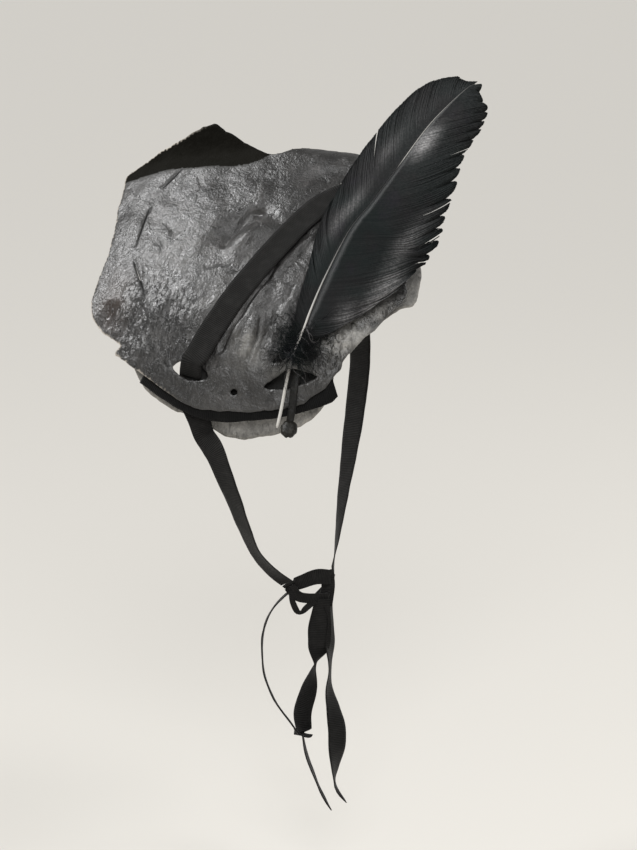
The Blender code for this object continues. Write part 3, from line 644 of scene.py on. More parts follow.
def spline(points, steps, closed=False):
    """Points on the smooth curve through the given rows, which may hold any number of values."""
    rows = np.array(points, dtype=float)
    count = len(rows)
    around = np.arange(count)[:, None] + (-1, 0, 1, 2)
    around = around % count if closed else np.clip(around, 0, count - 1)
    made = []
    for i in range(count if closed else count - 1):
        before, start, end, after = rows[around[i]]
        for k in range(steps):
            t = k / steps
            made.append(
                start + ((end - before) * t + (before * 2 - start * 5 + end * 4 - after) * t**2
                         + (start * 3 - before - end * 3 + after) * t**3) / 2
            )
    if not closed:
        made.append(rows[-1])
    return np.array(made)


def mesh_object(name, places, faces):
    """An object from places in millimetres."""
    mesh = bpy.data.meshes.new(name)
    corners = [tuple(int(i) for i in face) for face in faces]
    mesh.from_pydata((np.asarray(places) * MM).tolist(), [], corners)
    mesh.update()
    mesh.shade_smooth()
    made = bpy.data.objects.new(name, mesh)
    bpy.context.scene.collection.objects.link(made)
    return made


def paint(obj, name, values):
    """Stores one value for each vertex, for the material to read."""
    layer = obj.data.attributes.new(name, "FLOAT", "POINT")
    layer.data.foreach_set("value", np.asarray(values, dtype=np.float32))


def paint_leather(obj, **given):
    """Stores all that the leather's material reads, 0 where no value is given."""
    for name in LEATHER_VALUES:
        paint(obj, name, np.resize(given.get(name, 0.0), len(obj.data.vertices)))


def dress(obj, material, node):
    """Gives a piece its material and its body, and hides the CAD part that it stands for."""
    obj.data.materials.clear()
    obj.data.materials.append(material)
    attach(obj, "root")
    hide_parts(node)


def inside(places, outline):
    """Which places lie within an outline, counting the sides that each is left of."""
    x, y = places[:, 0], places[:, 1]
    found = np.zeros(len(places), dtype=bool)
    for (x1, y1), (x2, y2) in zip(outline, np.roll(outline, -1, axis=0)):
        crosses = (y1 > y) != (y2 > y)
        if abs(y2 - y1) > 1e-9:
            found ^= crosses & (x < x1 + (y - y1) * (x2 - x1) / (y2 - y1))
    return found


def lens(across, up, heading, length, width, sides=18):
    """The outline of a pointed cut, bowed on both sides."""
    turn = math.radians(heading)
    angle = np.linspace(0, math.pi, sides + 1)
    x = length * (angle / math.pi - 0.5)
    y = width / 2 * np.clip(np.sin(angle), 0, 1) ** 0.6
    x = np.concatenate([x, x[-2:0:-1]])
    y = np.concatenate([y, -y[-2:0:-1]])
    turned_x = x * math.cos(turn) - y * math.sin(turn)
    turned_y = x * math.sin(turn) + y * math.cos(turn)
    return np.stack([turned_x, turned_y], axis=1) + (across, up)


def roughened(outline, amount, seed):
    """An outline with a torn edge: each point is moved across its edge by noise."""
    ahead = np.roll(outline, -1, axis=0) - np.roll(outline, 1, axis=0)
    ahead /= np.linalg.norm(ahead, axis=1)[:, None]
    aside = np.stack([-ahead[:, 1], ahead[:, 0]], axis=1)
    coarse = grain(outline[:, 0], outline[:, 1], 9.0, seed=seed)
    fine = grain(outline[:, 0], outline[:, 1], 3.0, seed=seed + 1)
    return outline + aside * (amount * (0.9 * coarse + 0.6 * fine))[:, None]


def crack_rows(cracks):
    """Points down each crack's middle and along both its sides, each with its depth."""
    rows = []
    for depth, places in cracks:
        line = spline(places, 6)
        ahead = np.gradient(line, axis=0)
        ahead /= np.linalg.norm(ahead, axis=1)[:, None]
        aside = np.stack([-ahead[:, 1], ahead[:, 0]], axis=1)
        taper = np.sin(np.linspace(0.25, math.pi - 0.25, len(line)))
        for place, side, share in zip(line, aside, taper):
            rows.append((*place, depth * share))
            for reach in (-0.55, 0.55):
                rows.append((*(place + side * reach), 0.0))
    return np.array(rows)


def nearest(places, targets):
    """Which target is nearest to each place, and how far it is."""
    if not len(targets):
        return np.zeros(len(places), dtype=int), np.full(len(places), np.inf)
    tree = kdtree.KDTree(len(targets))
    for i, (across, up) in enumerate(targets):
        tree.insert((across, up, 0), i)
    tree.balance()
    found = [tree.find((across, up, 0)) for across, up in places]
    return np.array([row[1] for row in found]), np.array([row[2] for row in found])


def on_sheet(places, outline, holes):
    """Which places lie within an outline and in none of its holes."""
    keep = inside(places, outline)
    for hole in holes:
        keep &= ~inside(places, hole)
    return keep


def staggered_grid(outline, cell):
    """Slightly uneven rows of points over an outline, each row shifted by half a cell."""
    low, high = outline.min(axis=0), outline.max(axis=0)
    grid = []
    for i, up in enumerate(np.arange(low[1], high[1], cell * 0.87)):
        for across in np.arange(low[0] + (i % 2) * cell / 2, high[0], cell):
            grid.append((across, up))
    grid = np.array(grid)
    shift = [grain(grid[:, 0], grid[:, 1], 0.7, seed=seed) for seed in (41.0, 43.0)]
    return grid + 0.22 * cell * np.stack(shift, axis=1)


def flat_blank(outline, holes, cracks, cell):
    """A flat sheet as points and triangles, with each point's distance to the cut edge and depth."""
    edge = np.concatenate([outline, *holes])
    grid = staggered_grid(outline, cell)
    grid = grid[on_sheet(grid, outline, holes)]
    cracks = cracks[inside(cracks[:, :2], outline)]
    clear = (nearest(grid, edge)[1] >= 0.6 * cell) & (nearest(grid, cracks[:, :2])[1] >= CRACK_CLEAR)
    places = np.concatenate([edge, cracks[:, :2], grid[clear]])
    sides, first = [], 0
    for loop in (outline, *holes):
        count = len(loop)
        sides += [(first + i, first + (i + 1) % count) for i in range(count)]
        first += count
    made = delaunay_2d_cdt([Vector(p) for p in places], sides, [], 0, 1e-5)
    points = np.array([tuple(p) for p in made[0]])
    faces = np.array([tuple(face) for face in made[2]])
    keep = on_sheet(points[faces].mean(axis=1), outline, holes)
    used, faces = np.unique(faces[keep], return_inverse=True)
    points, faces = points[used], faces.reshape(-1, 3)
    distance = nearest(points, edge)[1]
    index, far = nearest(points, cracks[:, :2])
    depth = np.zeros(len(points))
    depth[far < SAME_POINT] = cracks[index[far < SAME_POINT], 2]
    return points, faces, distance, depth


def sheet_faces(height, across, up, step=0.5):
    """The way that a moulded sheet's face looks at each place, in the world."""
    slope_across = (height(across + step, up) - height(across - step, up)) / (2 * step)
    slope_up = (height(across, up + step) - height(across, up - step)) / (2 * step)
    faces = in_world(-slope_across, -slope_up, np.ones(np.shape(across)))
    return faces / np.linalg.norm(faces, axis=-1)[:, None]


def moulded_sheet(name, blank, height):
    """A flat blank moulded over its form, with both its faces, its cracks and its cut edge."""
    points, faces, distance, depth = blank
    across, up = points.T
    normal = sheet_faces(height, across, up, 0.6)
    middle = in_world(across, up, height(across, up))
    half = LEATHER / 2 * np.where(distance < EDGE_REACH, EDGE_THINNED, 1.0)[:, None]
    top, bottom = middle + normal * (half - depth[:, None]), middle - normal * half
    a, b, c = points[faces[:, 0]], points[faces[:, 1]], points[faces[:, 2]]
    turned = np.cross(b - a, c - a) < 0
    faces = np.where(turned[:, None], faces[:, ::-1], faces)
    count = len(points)
    edges = np.concatenate([faces[:, [0, 1]], faces[:, [1, 2]], faces[:, [2, 0]]])
    known = {(int(i), int(j)) for i, j in edges}
    walls = []
    for i, j in known:
        if (j, i) not in known:
            walls.append((j, i, i + count, j + count))
    return mesh_object(name, np.concatenate([top, bottom]), [*faces, *(faces[:, ::-1] + count), *walls])


def strap_rows(rows):
    """Rows of a strap as place, face and width."""
    return [(x, y, z, *direction(heading, rise), width) for x, y, z, heading, rise, width in rows]


def strap_mesh(name, middle, face, thickness, columns, along, aside):
    """A strap from the grid of its middle, with its weave's own coordinates."""
    top, bottom = middle + face * thickness / 2, middle - face * thickness / 2
    size, total = columns + 1, len(middle)
    count = total // size - 1
    faces = []
    for i in range(count):
        for j in range(columns):
            a = i * size + j
            faces.append((a, a + 1, a + size + 1, a + size))
            faces.append((a + total, a + size + total, a + size + 1 + total, a + 1 + total))
    rim = [i * size for i in range(count)] + [count * size + j for j in range(columns)]
    rim += [i * size + columns for i in range(count, 0, -1)] + [j for j in range(columns, 0, -1)]
    for a, b in zip(rim, rim[1:] + rim[:1]):
        faces.append((a, b, b + total, a + total))
    strap = mesh_object(name, np.concatenate([top, bottom]), faces)
    paint(strap, "along", np.tile(along, 2))
    paint(strap, "aside", np.tile(aside, 2))
    return strap


def soft_strap(name, rows, slant=0.0, cup=0.0, ripple=0.25, seed=0.0, thickness=0.7 * RIBBON,
               spacing=1.5, columns=8):
    """A ribbon along a route, slightly cupped and rippled."""
    line = spline(rows, 10)
    lengths = path_lengths(line)
    count = max(6, round(lengths[-1] / spacing))
    ways = np.linspace(0, 1, count + 1), np.linspace(-1, 1, columns + 1)
    share, aside = (values.ravel() for values in np.meshgrid(*ways, indexing="ij"))
    along = lengths[-1] * share - slant * (aside + 1) * smooth(share, 0.9, 1.0)
    values = at_length(line, lengths, along)
    ahead = at_length(line, lengths, along + 2.0) - at_length(line, lengths, along - 2.0)
    ahead = ahead[:, :3]
    side = np.cross(ahead, values[:, 3:6])
    side /= np.linalg.norm(side, axis=1)[:, None]
    face = np.cross(side, ahead)
    face /= np.linalg.norm(face, axis=1)[:, None]
    half = values[:, 6] / 2 * (1 + 0.025 * grain(along, np.sign(aside) * 40, 9.0, seed=seed))
    wave = ripple * grain(along, aside * 9, 13.0, seed=seed + 1) + cup * (aside * aside - 0.5)
    middle = values[:, :3] + side * (aside * half)[:, None] + face * wave[:, None]
    return strap_mesh(name, middle, face, thickness, columns, along, aside)


def path_lengths(line):
    """How far along a line each of its points is."""
    return np.concatenate([[0], np.cumsum(np.linalg.norm(np.diff(line[:, :3], axis=0), axis=1))])


def at_length(line, lengths, at):
    """The line's values at the given lengths along it, one row each."""
    return np.stack([np.interp(at, lengths, line[:, k]) for k in range(line.shape[1])], axis=-1)


def joined(name, pieces):
    """One object made from several."""
    bpy.ops.object.select_all(action="DESELECT")
    for piece in pieces:
        piece.select_set(True)
    bpy.context.view_layer.objects.active = pieces[0]
    bpy.ops.object.join()
    pieces[0].name = name
    bpy.ops.object.select_all(action="DESELECT")
    return pieces[0]


def new_material(name, roughness):
    """A material with its node tree and its shader."""
    material = bpy.data.materials.new(name)
    material.use_nodes = True
    shader = material.node_tree.nodes["Principled BSDF"]
    shader.inputs["Roughness"].default_value = roughness
    return material, material.node_tree, shader


def add(tree, kind, inputs=(), **settings):
    """A shader node, with values or links for its sockets."""
    made = tree.nodes.new(kind)
    for key, value in settings.items():
        setattr(made, key, value)
    for key, value in dict(inputs).items():
        if isinstance(value, bpy.types.NodeSocket):
            tree.links.new(value, made.inputs[key])
        else:
            made.inputs[key].default_value = value
    return made


def math_node(tree, operation, *values):
    """A sum, product or the like of values and sockets."""
    return add(tree, "ShaderNodeMath", dict(enumerate(values)), operation=operation).outputs[0]


def blended(tree, share, low, high):
    """A colour between two, each a colour or a socket."""
    made = add(tree, "ShaderNodeMix", {"Factor": share}, data_type="RGBA")
    for slot_index, value in ((6, low), (7, high)):
        if isinstance(value, bpy.types.NodeSocket):
            tree.links.new(value, made.inputs[slot_index])
        else:
            made.inputs[slot_index].default_value = (*value, 1)
    return made.outputs[2]


def ramp(tree, value, low, high):
    """0 where the value is at low, 1 where it is at high, and smooth between them."""
    made = add(tree, "ShaderNodeMapRange", {"Value": value, "From Min": low, "From Max": high})
    made.interpolation_type = "SMOOTHSTEP"
    return made.outputs[0]


def millimetres(tree):
    """The place on the object, in millimetres."""
    place = add(tree, "ShaderNodeTexCoord").outputs["Object"]
    return add(tree, "ShaderNodeVectorMath", {0: place, "Scale": 1000.0}, operation="SCALE").outputs[0]


def speckle(tree, place, size, detail=4.0, rough=0.55, warp=0.0):
    """Noise with spots of about the given size."""
    inputs = {"Vector": place, "Scale": 1 / size, "Detail": detail, "Roughness": rough, "Distortion": warp}
    return add(tree, "ShaderNodeTexNoise", inputs).outputs["Fac"]


def stored(tree, name):
    """A value that was painted on the mesh."""
    return add(tree, "ShaderNodeAttribute", attribute_name=name).outputs["Fac"]


def bump(tree, height, depth, under=None, strength=1.0):
    """A relief of the given depth in millimetres, on top of another if one is given."""
    inputs = {"Height": height, "Distance": depth * MM, "Strength": strength}
    if under:
        inputs["Normal"] = under
    return add(tree, "ShaderNodeBump", inputs).outputs[0]


def leather_material(name, dark, middle, light, roughness, gloss):
    """Worn leather: mottled, pebbled and glossy, with painted shade in its cracks and on the flap, and
    painted highlights in patches and on its lit cut edge.
    """
    material, tree, shader = new_material(name, roughness)
    place = millimetres(tree)
    drawn_out = {0: place, 1: (1.0, 1.0, 0.28)}
    tall = add(tree, "ShaderNodeVectorMath", drawn_out, operation="MULTIPLY").outputs[0]
    patch = ramp(tree, speckle(tree, place, 26.0, 5.0, 0.6, 0.4), 0.36, 0.66)
    blotch = ramp(tree, speckle(tree, place, 6.0, 5.0, 0.65), 0.34, 0.7)
    fleck = ramp(tree, speckle(tree, place, 1.2, 3.0, 0.6), 0.35, 0.7)
    tone = math_node(tree, "MULTIPLY", patch, 0.45)
    tone = math_node(tree, "ADD", tone, math_node(tree, "MULTIPLY", blotch, 0.35))
    tone = math_node(tree, "ADD", tone, math_node(tree, "MULTIPLY", fleck, 0.25))
    colour = blended(tree, ramp(tree, tone, 0.1, 0.65), dark, middle)
    colour = blended(tree, ramp(tree, tone, 0.55, 1.05), colour, light)
    fibres = ramp(tree, speckle(tree, tall, 2.2, 5.0, 0.7, 1.0), 0.47, 0.36)
    marks = math_node(tree, "MULTIPLY", fibres, math_node(tree, "ADD", stored(tree, "wrinkled"), 0.1))
    uneven = math_node(tree, "MULTIPLY_ADD", blotch, 0.7, 0.4)
    # Painted highlight: the listed patches are painted paler, unevenly.
    highlit = math_node(tree, "MULTIPLY", stored(tree, "rubbed"), uneven)
    colour = blended(tree, highlit, colour, (0.36, 0.35, 0.325))
    colour = blended(tree, stored(tree, "rust"), colour, (0.04, 0.025, 0.018))
    colour = blended(tree, math_node(tree, "MULTIPLY", marks, 0.8), colour, tuple(0.2 * c for c in dark))
    # Painted shade: the turned-up flap's face is painted nearly black.
    colour = blended(tree, stored(tree, "flap"), colour, (0.006, 0.0055, 0.004))
    # Painted shade: cracks, slash lips and the covered part of the under leather are painted nearly black.
    colour = blended(tree, stored(tree, "crack"), colour, (0.002, 0.002, 0.002))
    # Painted highlight: the lit cut rim is painted pale.
    colour = blended(tree, stored(tree, "rim"), colour, (0.6, 0.55, 0.48))
    tree.links.new(colour, shader.inputs["Base Color"])
    sheen = math_node(tree, "MULTIPLY", fleck, 0.5)
    sheen = math_node(tree, "ADD", math_node(tree, "MULTIPLY", blotch, 0.5), sheen)
    limits = {"Value": sheen, "To Min": roughness - 0.09, "To Max": roughness + 0.13}
    rough = add(tree, "ShaderNodeMapRange", limits).outputs[0]
    dull = math_node(tree, "MAXIMUM", stored(tree, "flap"), stored(tree, "crack"))
    rough = math_node(tree, "ADD", rough, math_node(tree, "MULTIPLY", dull, 0.35))
    tree.links.new(rough, shader.inputs["Roughness"])
    pores = add(tree, "ShaderNodeTexVoronoi", {"Vector": place, "Scale": 0.8, "Randomness": 1.0})
    pores.feature = "SMOOTH_F1"
    normal = bump(tree, speckle(tree, place, 15.0, 3.0, 0.45), 3.4, strength=0.7)
    normal = bump(tree, speckle(tree, place, 4.0, 3.0, 0.5), 0.28, normal)
    normal = bump(tree, pores.outputs["Distance"], 0.24, normal)
    normal = bump(tree, speckle(tree, place, 0.5, 2.0, 0.7), 0.14, normal)
    normal = bump(tree, marks, 0.5, normal)
    tree.links.new(normal, shader.inputs["Normal"])
    shader.inputs["Specular IOR Level"].default_value = gloss
    return material


def ribbon_material(name, dark, light, pitch=1.15):
    """Grosgrain: fine ribs across the ribbon, and a tight edge."""
    material, tree, shader = new_material(name, 0.62)
    along, aside = stored(tree, "along"), stored(tree, "aside")
    ribs = math_node(tree, "SINE", math_node(tree, "MULTIPLY", along, 2 * math.pi / pitch))
    ribs = math_node(tree, "MULTIPLY_ADD", ribs, 0.5, 0.5)
    place = millimetres(tree)
    dust = ramp(tree, speckle(tree, place, 6.0, 5.0, 0.6), 0.42, 0.75)
    thread = speckle(tree, place, 0.5, 2.0)
    colour = blended(tree, math_node(tree, "MULTIPLY", ribs, 0.55), dark, light)
    colour = blended(tree, math_node(tree, "MULTIPLY", dust, 0.4), colour, light)
    tree.links.new(colour, shader.inputs["Base Color"])
    edge = ramp(tree, math_node(tree, "ABSOLUTE", aside), 0.9, 0.97)
    normal = bump(tree, ribs, 0.22, strength=0.9)
    normal = bump(tree, edge, 0.15, normal)
    normal = bump(tree, thread, 0.08, normal)
    tree.links.new(normal, shader.inputs["Normal"])
    shader.inputs["Sheen Weight"].default_value = 0.06
    shader.inputs["Sheen Roughness"].default_value = 0.4
    shader.inputs["Specular IOR Level"].default_value = 0.09
    return material


def plume_material(name, dark, pale):
    """Barbs: near black with a faint green and violet play, and paler by their stored tone: painted sheen
    on the vane, and a few pale strands of down.
    """
    material, tree, shader = new_material(name, 0.42)
    place = millimetres(tree)
    play = ramp(tree, speckle(tree, place, 26.0, 2.0), 0.35, 0.65)
    colour = blended(tree, play, dark, (dark[0] * 0.7, dark[1] * 1.25, dark[2] * 1.15))
    violet = ramp(tree, speckle(tree, place, 17.0, 2.0, warp=0.5), 0.55, 0.75)
    violet = math_node(tree, "MULTIPLY", violet, 0.5)
    colour = blended(tree, violet, colour, (dark[0] * 1.5, dark[1] * 1.2, dark[2] * 1.9))
    strands = ramp(tree, speckle(tree, place, 1.4, 4.0, 0.7), 0.35, 0.7)
    uneven = math_node(tree, "MULTIPLY_ADD", strands, 0.6, 0.4)
    tone = math_node(tree, "MULTIPLY", stored(tree, "tone"), uneven)
    colour = blended(tree, tone, colour, pale)
    tree.links.new(colour, shader.inputs["Base Color"])
    tree.links.new(bump(tree, speckle(tree, place, 0.5, 2.0), 0.08), shader.inputs["Normal"])
    shader.inputs["Specular IOR Level"].default_value = 0.11
    return material


def quill_material():
    """Horn: nearly white where the quill is bare, and painted dark as shade where the barbs cover it."""
    material, tree, shader = new_material("quill_horn", 0.42)
    place = millimetres(tree)
    streak = speckle(tree, place, 3.0, 3.0)
    horn = blended(tree, math_node(tree, "MULTIPLY", streak, 0.3), (0.74, 0.72, 0.68), (0.3, 0.26, 0.2))
    colour = blended(tree, stored(tree, "tone"), (0.005, 0.005, 0.0055), horn)
    tree.links.new(colour, shader.inputs["Base Color"])
    shader.inputs["Specular IOR Level"].default_value = 0.4
    return material


def slashed(across, up):
    """1 on the lips of the slashes, where the leather is painted dark as shade, and 0 elsewhere."""
    far = np.full(len(across), 1e6)
    for _, centre_across, centre_up, heading, length, _ in SLASHES:
        turn = math.radians(heading)
        half = np.array([math.cos(turn), math.sin(turn)]) * length / 2
        ends = [(centre_across, centre_up) - half, (centre_across, centre_up) + half]
        far = np.minimum(far, line_distance(across, up, ends))
    return (far < LIP).astype(float)


def rust_stain(across, up):
    """The brown stain near the back edge."""
    stain = np.exp(-((across + 106) / 11) ** 2 - ((up + 8) / 22) ** 2)
    return 0.55 * np.clip(stain + 0.5 * grain(across, up, 7.0, seed=61.0) * stain, 0, 1)


def rubbed_paler(across, up):
    """How much painted highlight the leather has at a place."""
    rubbed = np.zeros(len(across))
    for centre_across, centre_up, reach_across, reach_up, amount in HIGHLIGHT_PATCHES:
        far = ((across - centre_across) / reach_across) ** 2 + ((up - centre_up) / reach_up) ** 2
        rubbed += amount * np.exp(-far) * (0.8 + 0.5 * grain(across, up, 5.0, seed=63.0))
    return rubbed


def make_upper_leather(material, matt):
    """The crown's sheet. Its slashes are cut as hairlines, with their lips sunk as cracks and painted dark
    as shade.
    """
    outline = roughened(spline(UPPER_OUTLINE, 9, closed=True), RAGGED, 51.0)
    cuts = [*STRAP_SLOTS, *QUILL_SLITS, LACE_HOLE, *SLASHES]
    holes = [lens(*cut[1:]) for cut in cuts]
    blank = flat_blank(outline, holes, crack_rows(CRACKS), UPPER_CELL)

    def height(at_across, at_up):
        return upper_height(at_across, at_up) + upper_detail(at_across, at_up)

    sheet = moulded_sheet("aged_upper_leather", blank, height)
    points, _, distance, depth = blank
    across, up = points.T
    # Where the flap's face is painted dark as shade and takes the matt material.
    flap = smooth(up - np.interp(across, *zip(*FLAP_EDGE)), -1.2, 1.8) * smooth(across, -6, -10)
    from_holes = np.min([line_distance(across, up, [*hole, hole[0]]) for hole in holes], axis=0)
    # Painted highlight: the cut rim is painted pale only on the back side, towards the key light, and not
    # beside holes.
    rim = (distance < EDGE_REACH) * smooth(across, -50, -90) * (from_holes > RIM_CLEAR)
    paint_leather(
        sheet,
        wrinkled=wrinkled(across, up)[0],
        flap=flap,
        rubbed=rubbed_paler(across, up),
        rust=rust_stain(across, up),
        # Painted shade: the cracks and the lips of the slashes are painted nearly black.
        crack=np.maximum(np.clip(depth * 2.0, 0, 1), slashed(across, up)),
        rim=rim,
    )
    dress(sheet, material, "upper_leather")
    sheet.data.materials.append(matt)
    for face in sheet.data.polygons:
        if min(flap[i % len(flap)] for i in face.vertices) > 0.7:
            face.material_index = 1


def make_under_leather(material):
    """The sheet that closes on the head, painted dark as shade on top where the upper leather covers it.
    """
    outline = roughened(spline(UNDER_OUTLINE, 9, closed=True), RAGGED * 0.6, 71.0)
    blank = flat_blank(outline, [lens(*UNDER_SLOT[1:])], np.zeros((0, 3)), UNDER_CELL)

    def height(at_across, at_up):
        return under_height(at_across, at_up) + under_detail(at_across, at_up)

    sheet = moulded_sheet("worn_under_leather", blank, height)
    points, _, distance, _ = blank
    across, up = points.T
    covered = inside(points, np.array(UPPER_OUTLINE))
    from_edge = line_distance(across, up, [*UPPER_OUTLINE, UPPER_OUTLINE[0]])
    # Painted shade: the under leather is painted dark where the upper leather lies over it.
    covered_shade = 0.94 * covered * smooth(from_edge, 4, 9)
    paint_leather(
        sheet,
        wrinkled=0.25,
        crack=np.concatenate([covered_shade, np.zeros(len(covered_shade))]),
        # A faint painted highlight all along the cut rim.
        rim=0.2 * (distance < EDGE_REACH),
    )
    dress(sheet, material, "under_leather")


def make_hat_band(material):
    """The strip that lies against the upper leather's inner face along its low edge."""
    line = spline(BAND_LINE, 12)
    lengths = path_lengths(line)
    columns = 8
    ways = np.arange(0, lengths[-1], 1.5), np.linspace(-1, 1, columns + 1)
    along, aside = (values.ravel() for values in np.meshgrid(*ways, indexing="ij"))
    ahead = at_length(line, lengths, along + 1.0) - at_length(line, lengths, along - 1.0)
    ahead /= np.linalg.norm(ahead, axis=1)[:, None]
    side = np.stack([-ahead[:, 1], ahead[:, 0]], axis=1)
    half = BAND_WIDTH / 2 * (1 - 0.28 * smooth(along, lengths[-1] - 6, lengths[-1]))
    half = half * (1 + 0.03 * grain(along, np.sign(aside) * 30, 7.0, seed=121.0))
    place = at_length(line, lengths, along) + side * (aside * half)[:, None]
    height = crown_form(place[:, 0], place[:, 1]) - (LEATHER + RIBBON) / 2 - BAND_GAP
    height = height - 0.25 + 0.25 * grain(along, aside * 8, 12.0, seed=123.0)
    face = sheet_faces(crown_form, place[:, 0], place[:, 1])
    middle = in_world(place[:, 0], place[:, 1], height)
    band = strap_mesh("band_weave", middle, face, RIBBON * 0.8, columns, along, aside)
    dress(band, material, "hat_band")


def dive(strap_slot):
    """Rows of the crown ribbon from the leather's face down through a slot."""
    _, across, up, heading, _, _ = strap_slot
    turn = math.radians(heading)
    way = np.array([-math.sin(turn), math.cos(turn)]) * (1 if up > 0 else -1)
    past, over = np.array(RIBBON_DIVE).T
    place = np.array([across, up]) + way * past[:, None]
    faces = sheet_faces(crown_form, *place.T)
    middles = in_world(*place.T, crown_form(*place.T)) + faces * over[:, None]
    return [(*middle, *face, DIVE_WIDTH) for middle, face in zip(middles, faces)]


def carried_on(rows):
    """The first row of a strap that goes on where another ends."""
    end, before = np.array(rows[-1][:3]), np.array(rows[-2][:3])
    ahead = (end - before) / np.linalg.norm(end - before)
    return (*(end + ahead * JOIN_GAP), *rows[-1][3:])


def make_crown_ribbon(material):
    """The ribbon drawn tight over the crown, with each end turned down through its slot."""
    line = spline(RIBBON_LINE, 12)
    lengths = path_lengths(np.column_stack([line, np.zeros(len(line))]))
    at = np.linspace(DIVE_REACH, lengths[-1] - DIVE_REACH, RIBBON_SEATS)
    places = at_length(line, lengths, at)
    ahead = at_length(line, lengths, at + 0.5) - at_length(line, lengths, at - 0.5)
    aside = np.stack([-ahead[:, 1], ahead[:, 0]], axis=1)
    seats = []
    for place, side in zip(places, aside):
        under = place + side * RIBBON_WIDTH * np.linspace(-0.5, 0.5, 9)[:, None]
        seats.append(upper_height(under[:, 0], under[:, 1]).max() + (LEATHER + RIBBON) / 2 + RIBBON_GAP)
    for _ in range(SEAT_ROUNDS):
        for k in range(1, len(seats) - 1):
            seats[k] = max(seats[k], (seats[k - 1] + seats[k + 1]) / 2)
    middles = in_world(places[:, 0], places[:, 1], np.array(seats))
    rows = [(*middle, *OUT, RIBBON_WIDTH) for middle in middles]
    low, high = STRAP_SLOTS
    rows = [*reversed(dive(low)), *rows, *dive(high)]
    strap = soft_strap("crown_ribbon_weave", rows, cup=0.25, ripple=0.3, seed=81.0)
    dress(strap, material, "crown_ribbon")


def make_ties(material):
    """The two ties, each carried on from its end of the crown ribbon."""
    across, up, above = np.array(TIE_START).T
    faces = sheet_faces(under_height, across, up)
    lift = (LEATHER + RIBBON) / 2 + above
    middles = in_world(across, up, under_height(across, up)) + faces * lift[:, None]
    rows = [(*middle, *face, DIVE_WIDTH) for middle, face in zip(middles, faces)]
    rows = [carried_on(dive(STRAP_SLOTS[0])), *rows, *strap_rows(TIE_RIGHT)]
    right = soft_strap("tie_right_weave", rows, cup=0.3, seed=83.0)
    dress(right, material, "chin_tie_right")
    rows = [carried_on(dive(STRAP_SLOTS[1])), *strap_rows(TIE_LEFT)]
    left = soft_strap("tie_left_weave", rows, cup=0.3, seed=85.0)
    dress(left, material, "chin_tie_left")


def make_bow(material):
    """The knot, its loop and the two free ends."""
    routes = [KNOT_BAND, KNOT_TURN, KNOT_BAR, KNOT_LOOP, BOW_LOOP, FRONT_END, BACK_END]
    straps = []
    for i, rows in enumerate(routes):
        slant = END_SLANT if rows in (FRONT_END, BACK_END) else 0.0
        strap = soft_strap(
            f"bow_{i}", strap_rows(rows), slant=slant, cup=0.35, ripple=0.4, seed=90.0 + i
        )
        straps.append(strap)
    bow = joined("bow_weave", straps)
    dress(bow, material, "bow")


def shaft_route():
    """The shaft's middle line, carried on past its tip for the barbs that reach over it."""
    line = spline(SHAFT, 8)
    onward = line[-1] - line[-3]
    onward /= np.linalg.norm(onward)
    return np.concatenate([line, [line[-1] + onward * TIP_REACH]])


SHAFT_LINE = shaft_route()
SHAFT_AT = path_lengths(SHAFT_LINE)
SHAFT_LENGTH = SHAFT_AT[-1] - TIP_REACH


def on_shaft(share):
    """Places on the shaft's line at shares of its length, and the way across it to the back side."""
    at = np.asarray(share) * SHAFT_LENGTH
    place = at_length(SHAFT_LINE, SHAFT_AT, at)
    ahead = at_length(SHAFT_LINE, SHAFT_AT, at + 4.0) - at_length(SHAFT_LINE, SHAFT_AT, at - 4.0)
    aside = np.stack([-ahead[..., 1], ahead[..., 0]], axis=-1)
    return place, aside / np.linalg.norm(aside, axis=-1)[..., None]


def make_shaft(material):
    """The quill and shaft, round at the quill and thinner towards the tip."""
    shares = np.linspace(0, 1, SHAFT_SHARES)
    places, aside = on_shaft(shares)
    aside = np.concatenate([aside, np.zeros((len(shares), 1))], axis=1)
    ahead = np.gradient(places, axis=0)
    lift = np.cross(ahead, aside)
    lift /= np.linalg.norm(lift, axis=1)[:, None]
    radius = np.interp(shares, *zip(*SHAFT_RADIUS)) * np.minimum(smooth(shares, -0.012, 0.012), 1)
    turn = np.linspace(0, 2 * math.pi, SHAFT_SIDES, endpoint=False)
    wide = aside[:, None] * (radius[:, None] * np.cos(turn))[..., None]
    high = lift[:, None] * (radius[:, None] * 0.85 * np.sin(turn))[..., None]
    rings = (places[:, None] + wide + high).reshape(-1, 3) @ HAT_AXES
    faces = []
    for i in range(0, (SHAFT_SHARES - 1) * SHAFT_SIDES, SHAFT_SIDES):
        for j in range(SHAFT_SIDES):
            k = (j + 1) % SHAFT_SIDES
            faces.append((i + j, i + k, i + SHAFT_SIDES + k, i + SHAFT_SIDES + j))
    faces.append(tuple(reversed(range(SHAFT_SIDES))))
    faces.append(tuple(range((SHAFT_SHARES - 1) * SHAFT_SIDES, SHAFT_SHARES * SHAFT_SIDES)))
    shaft = mesh_object("feather_shaft", rings, faces)
    tone = np.interp(shares, *zip(*SHAFT_TONE))
    paint(shaft, "tone", np.repeat(tone, SHAFT_SIDES))
    dress(shaft, material, "feather")


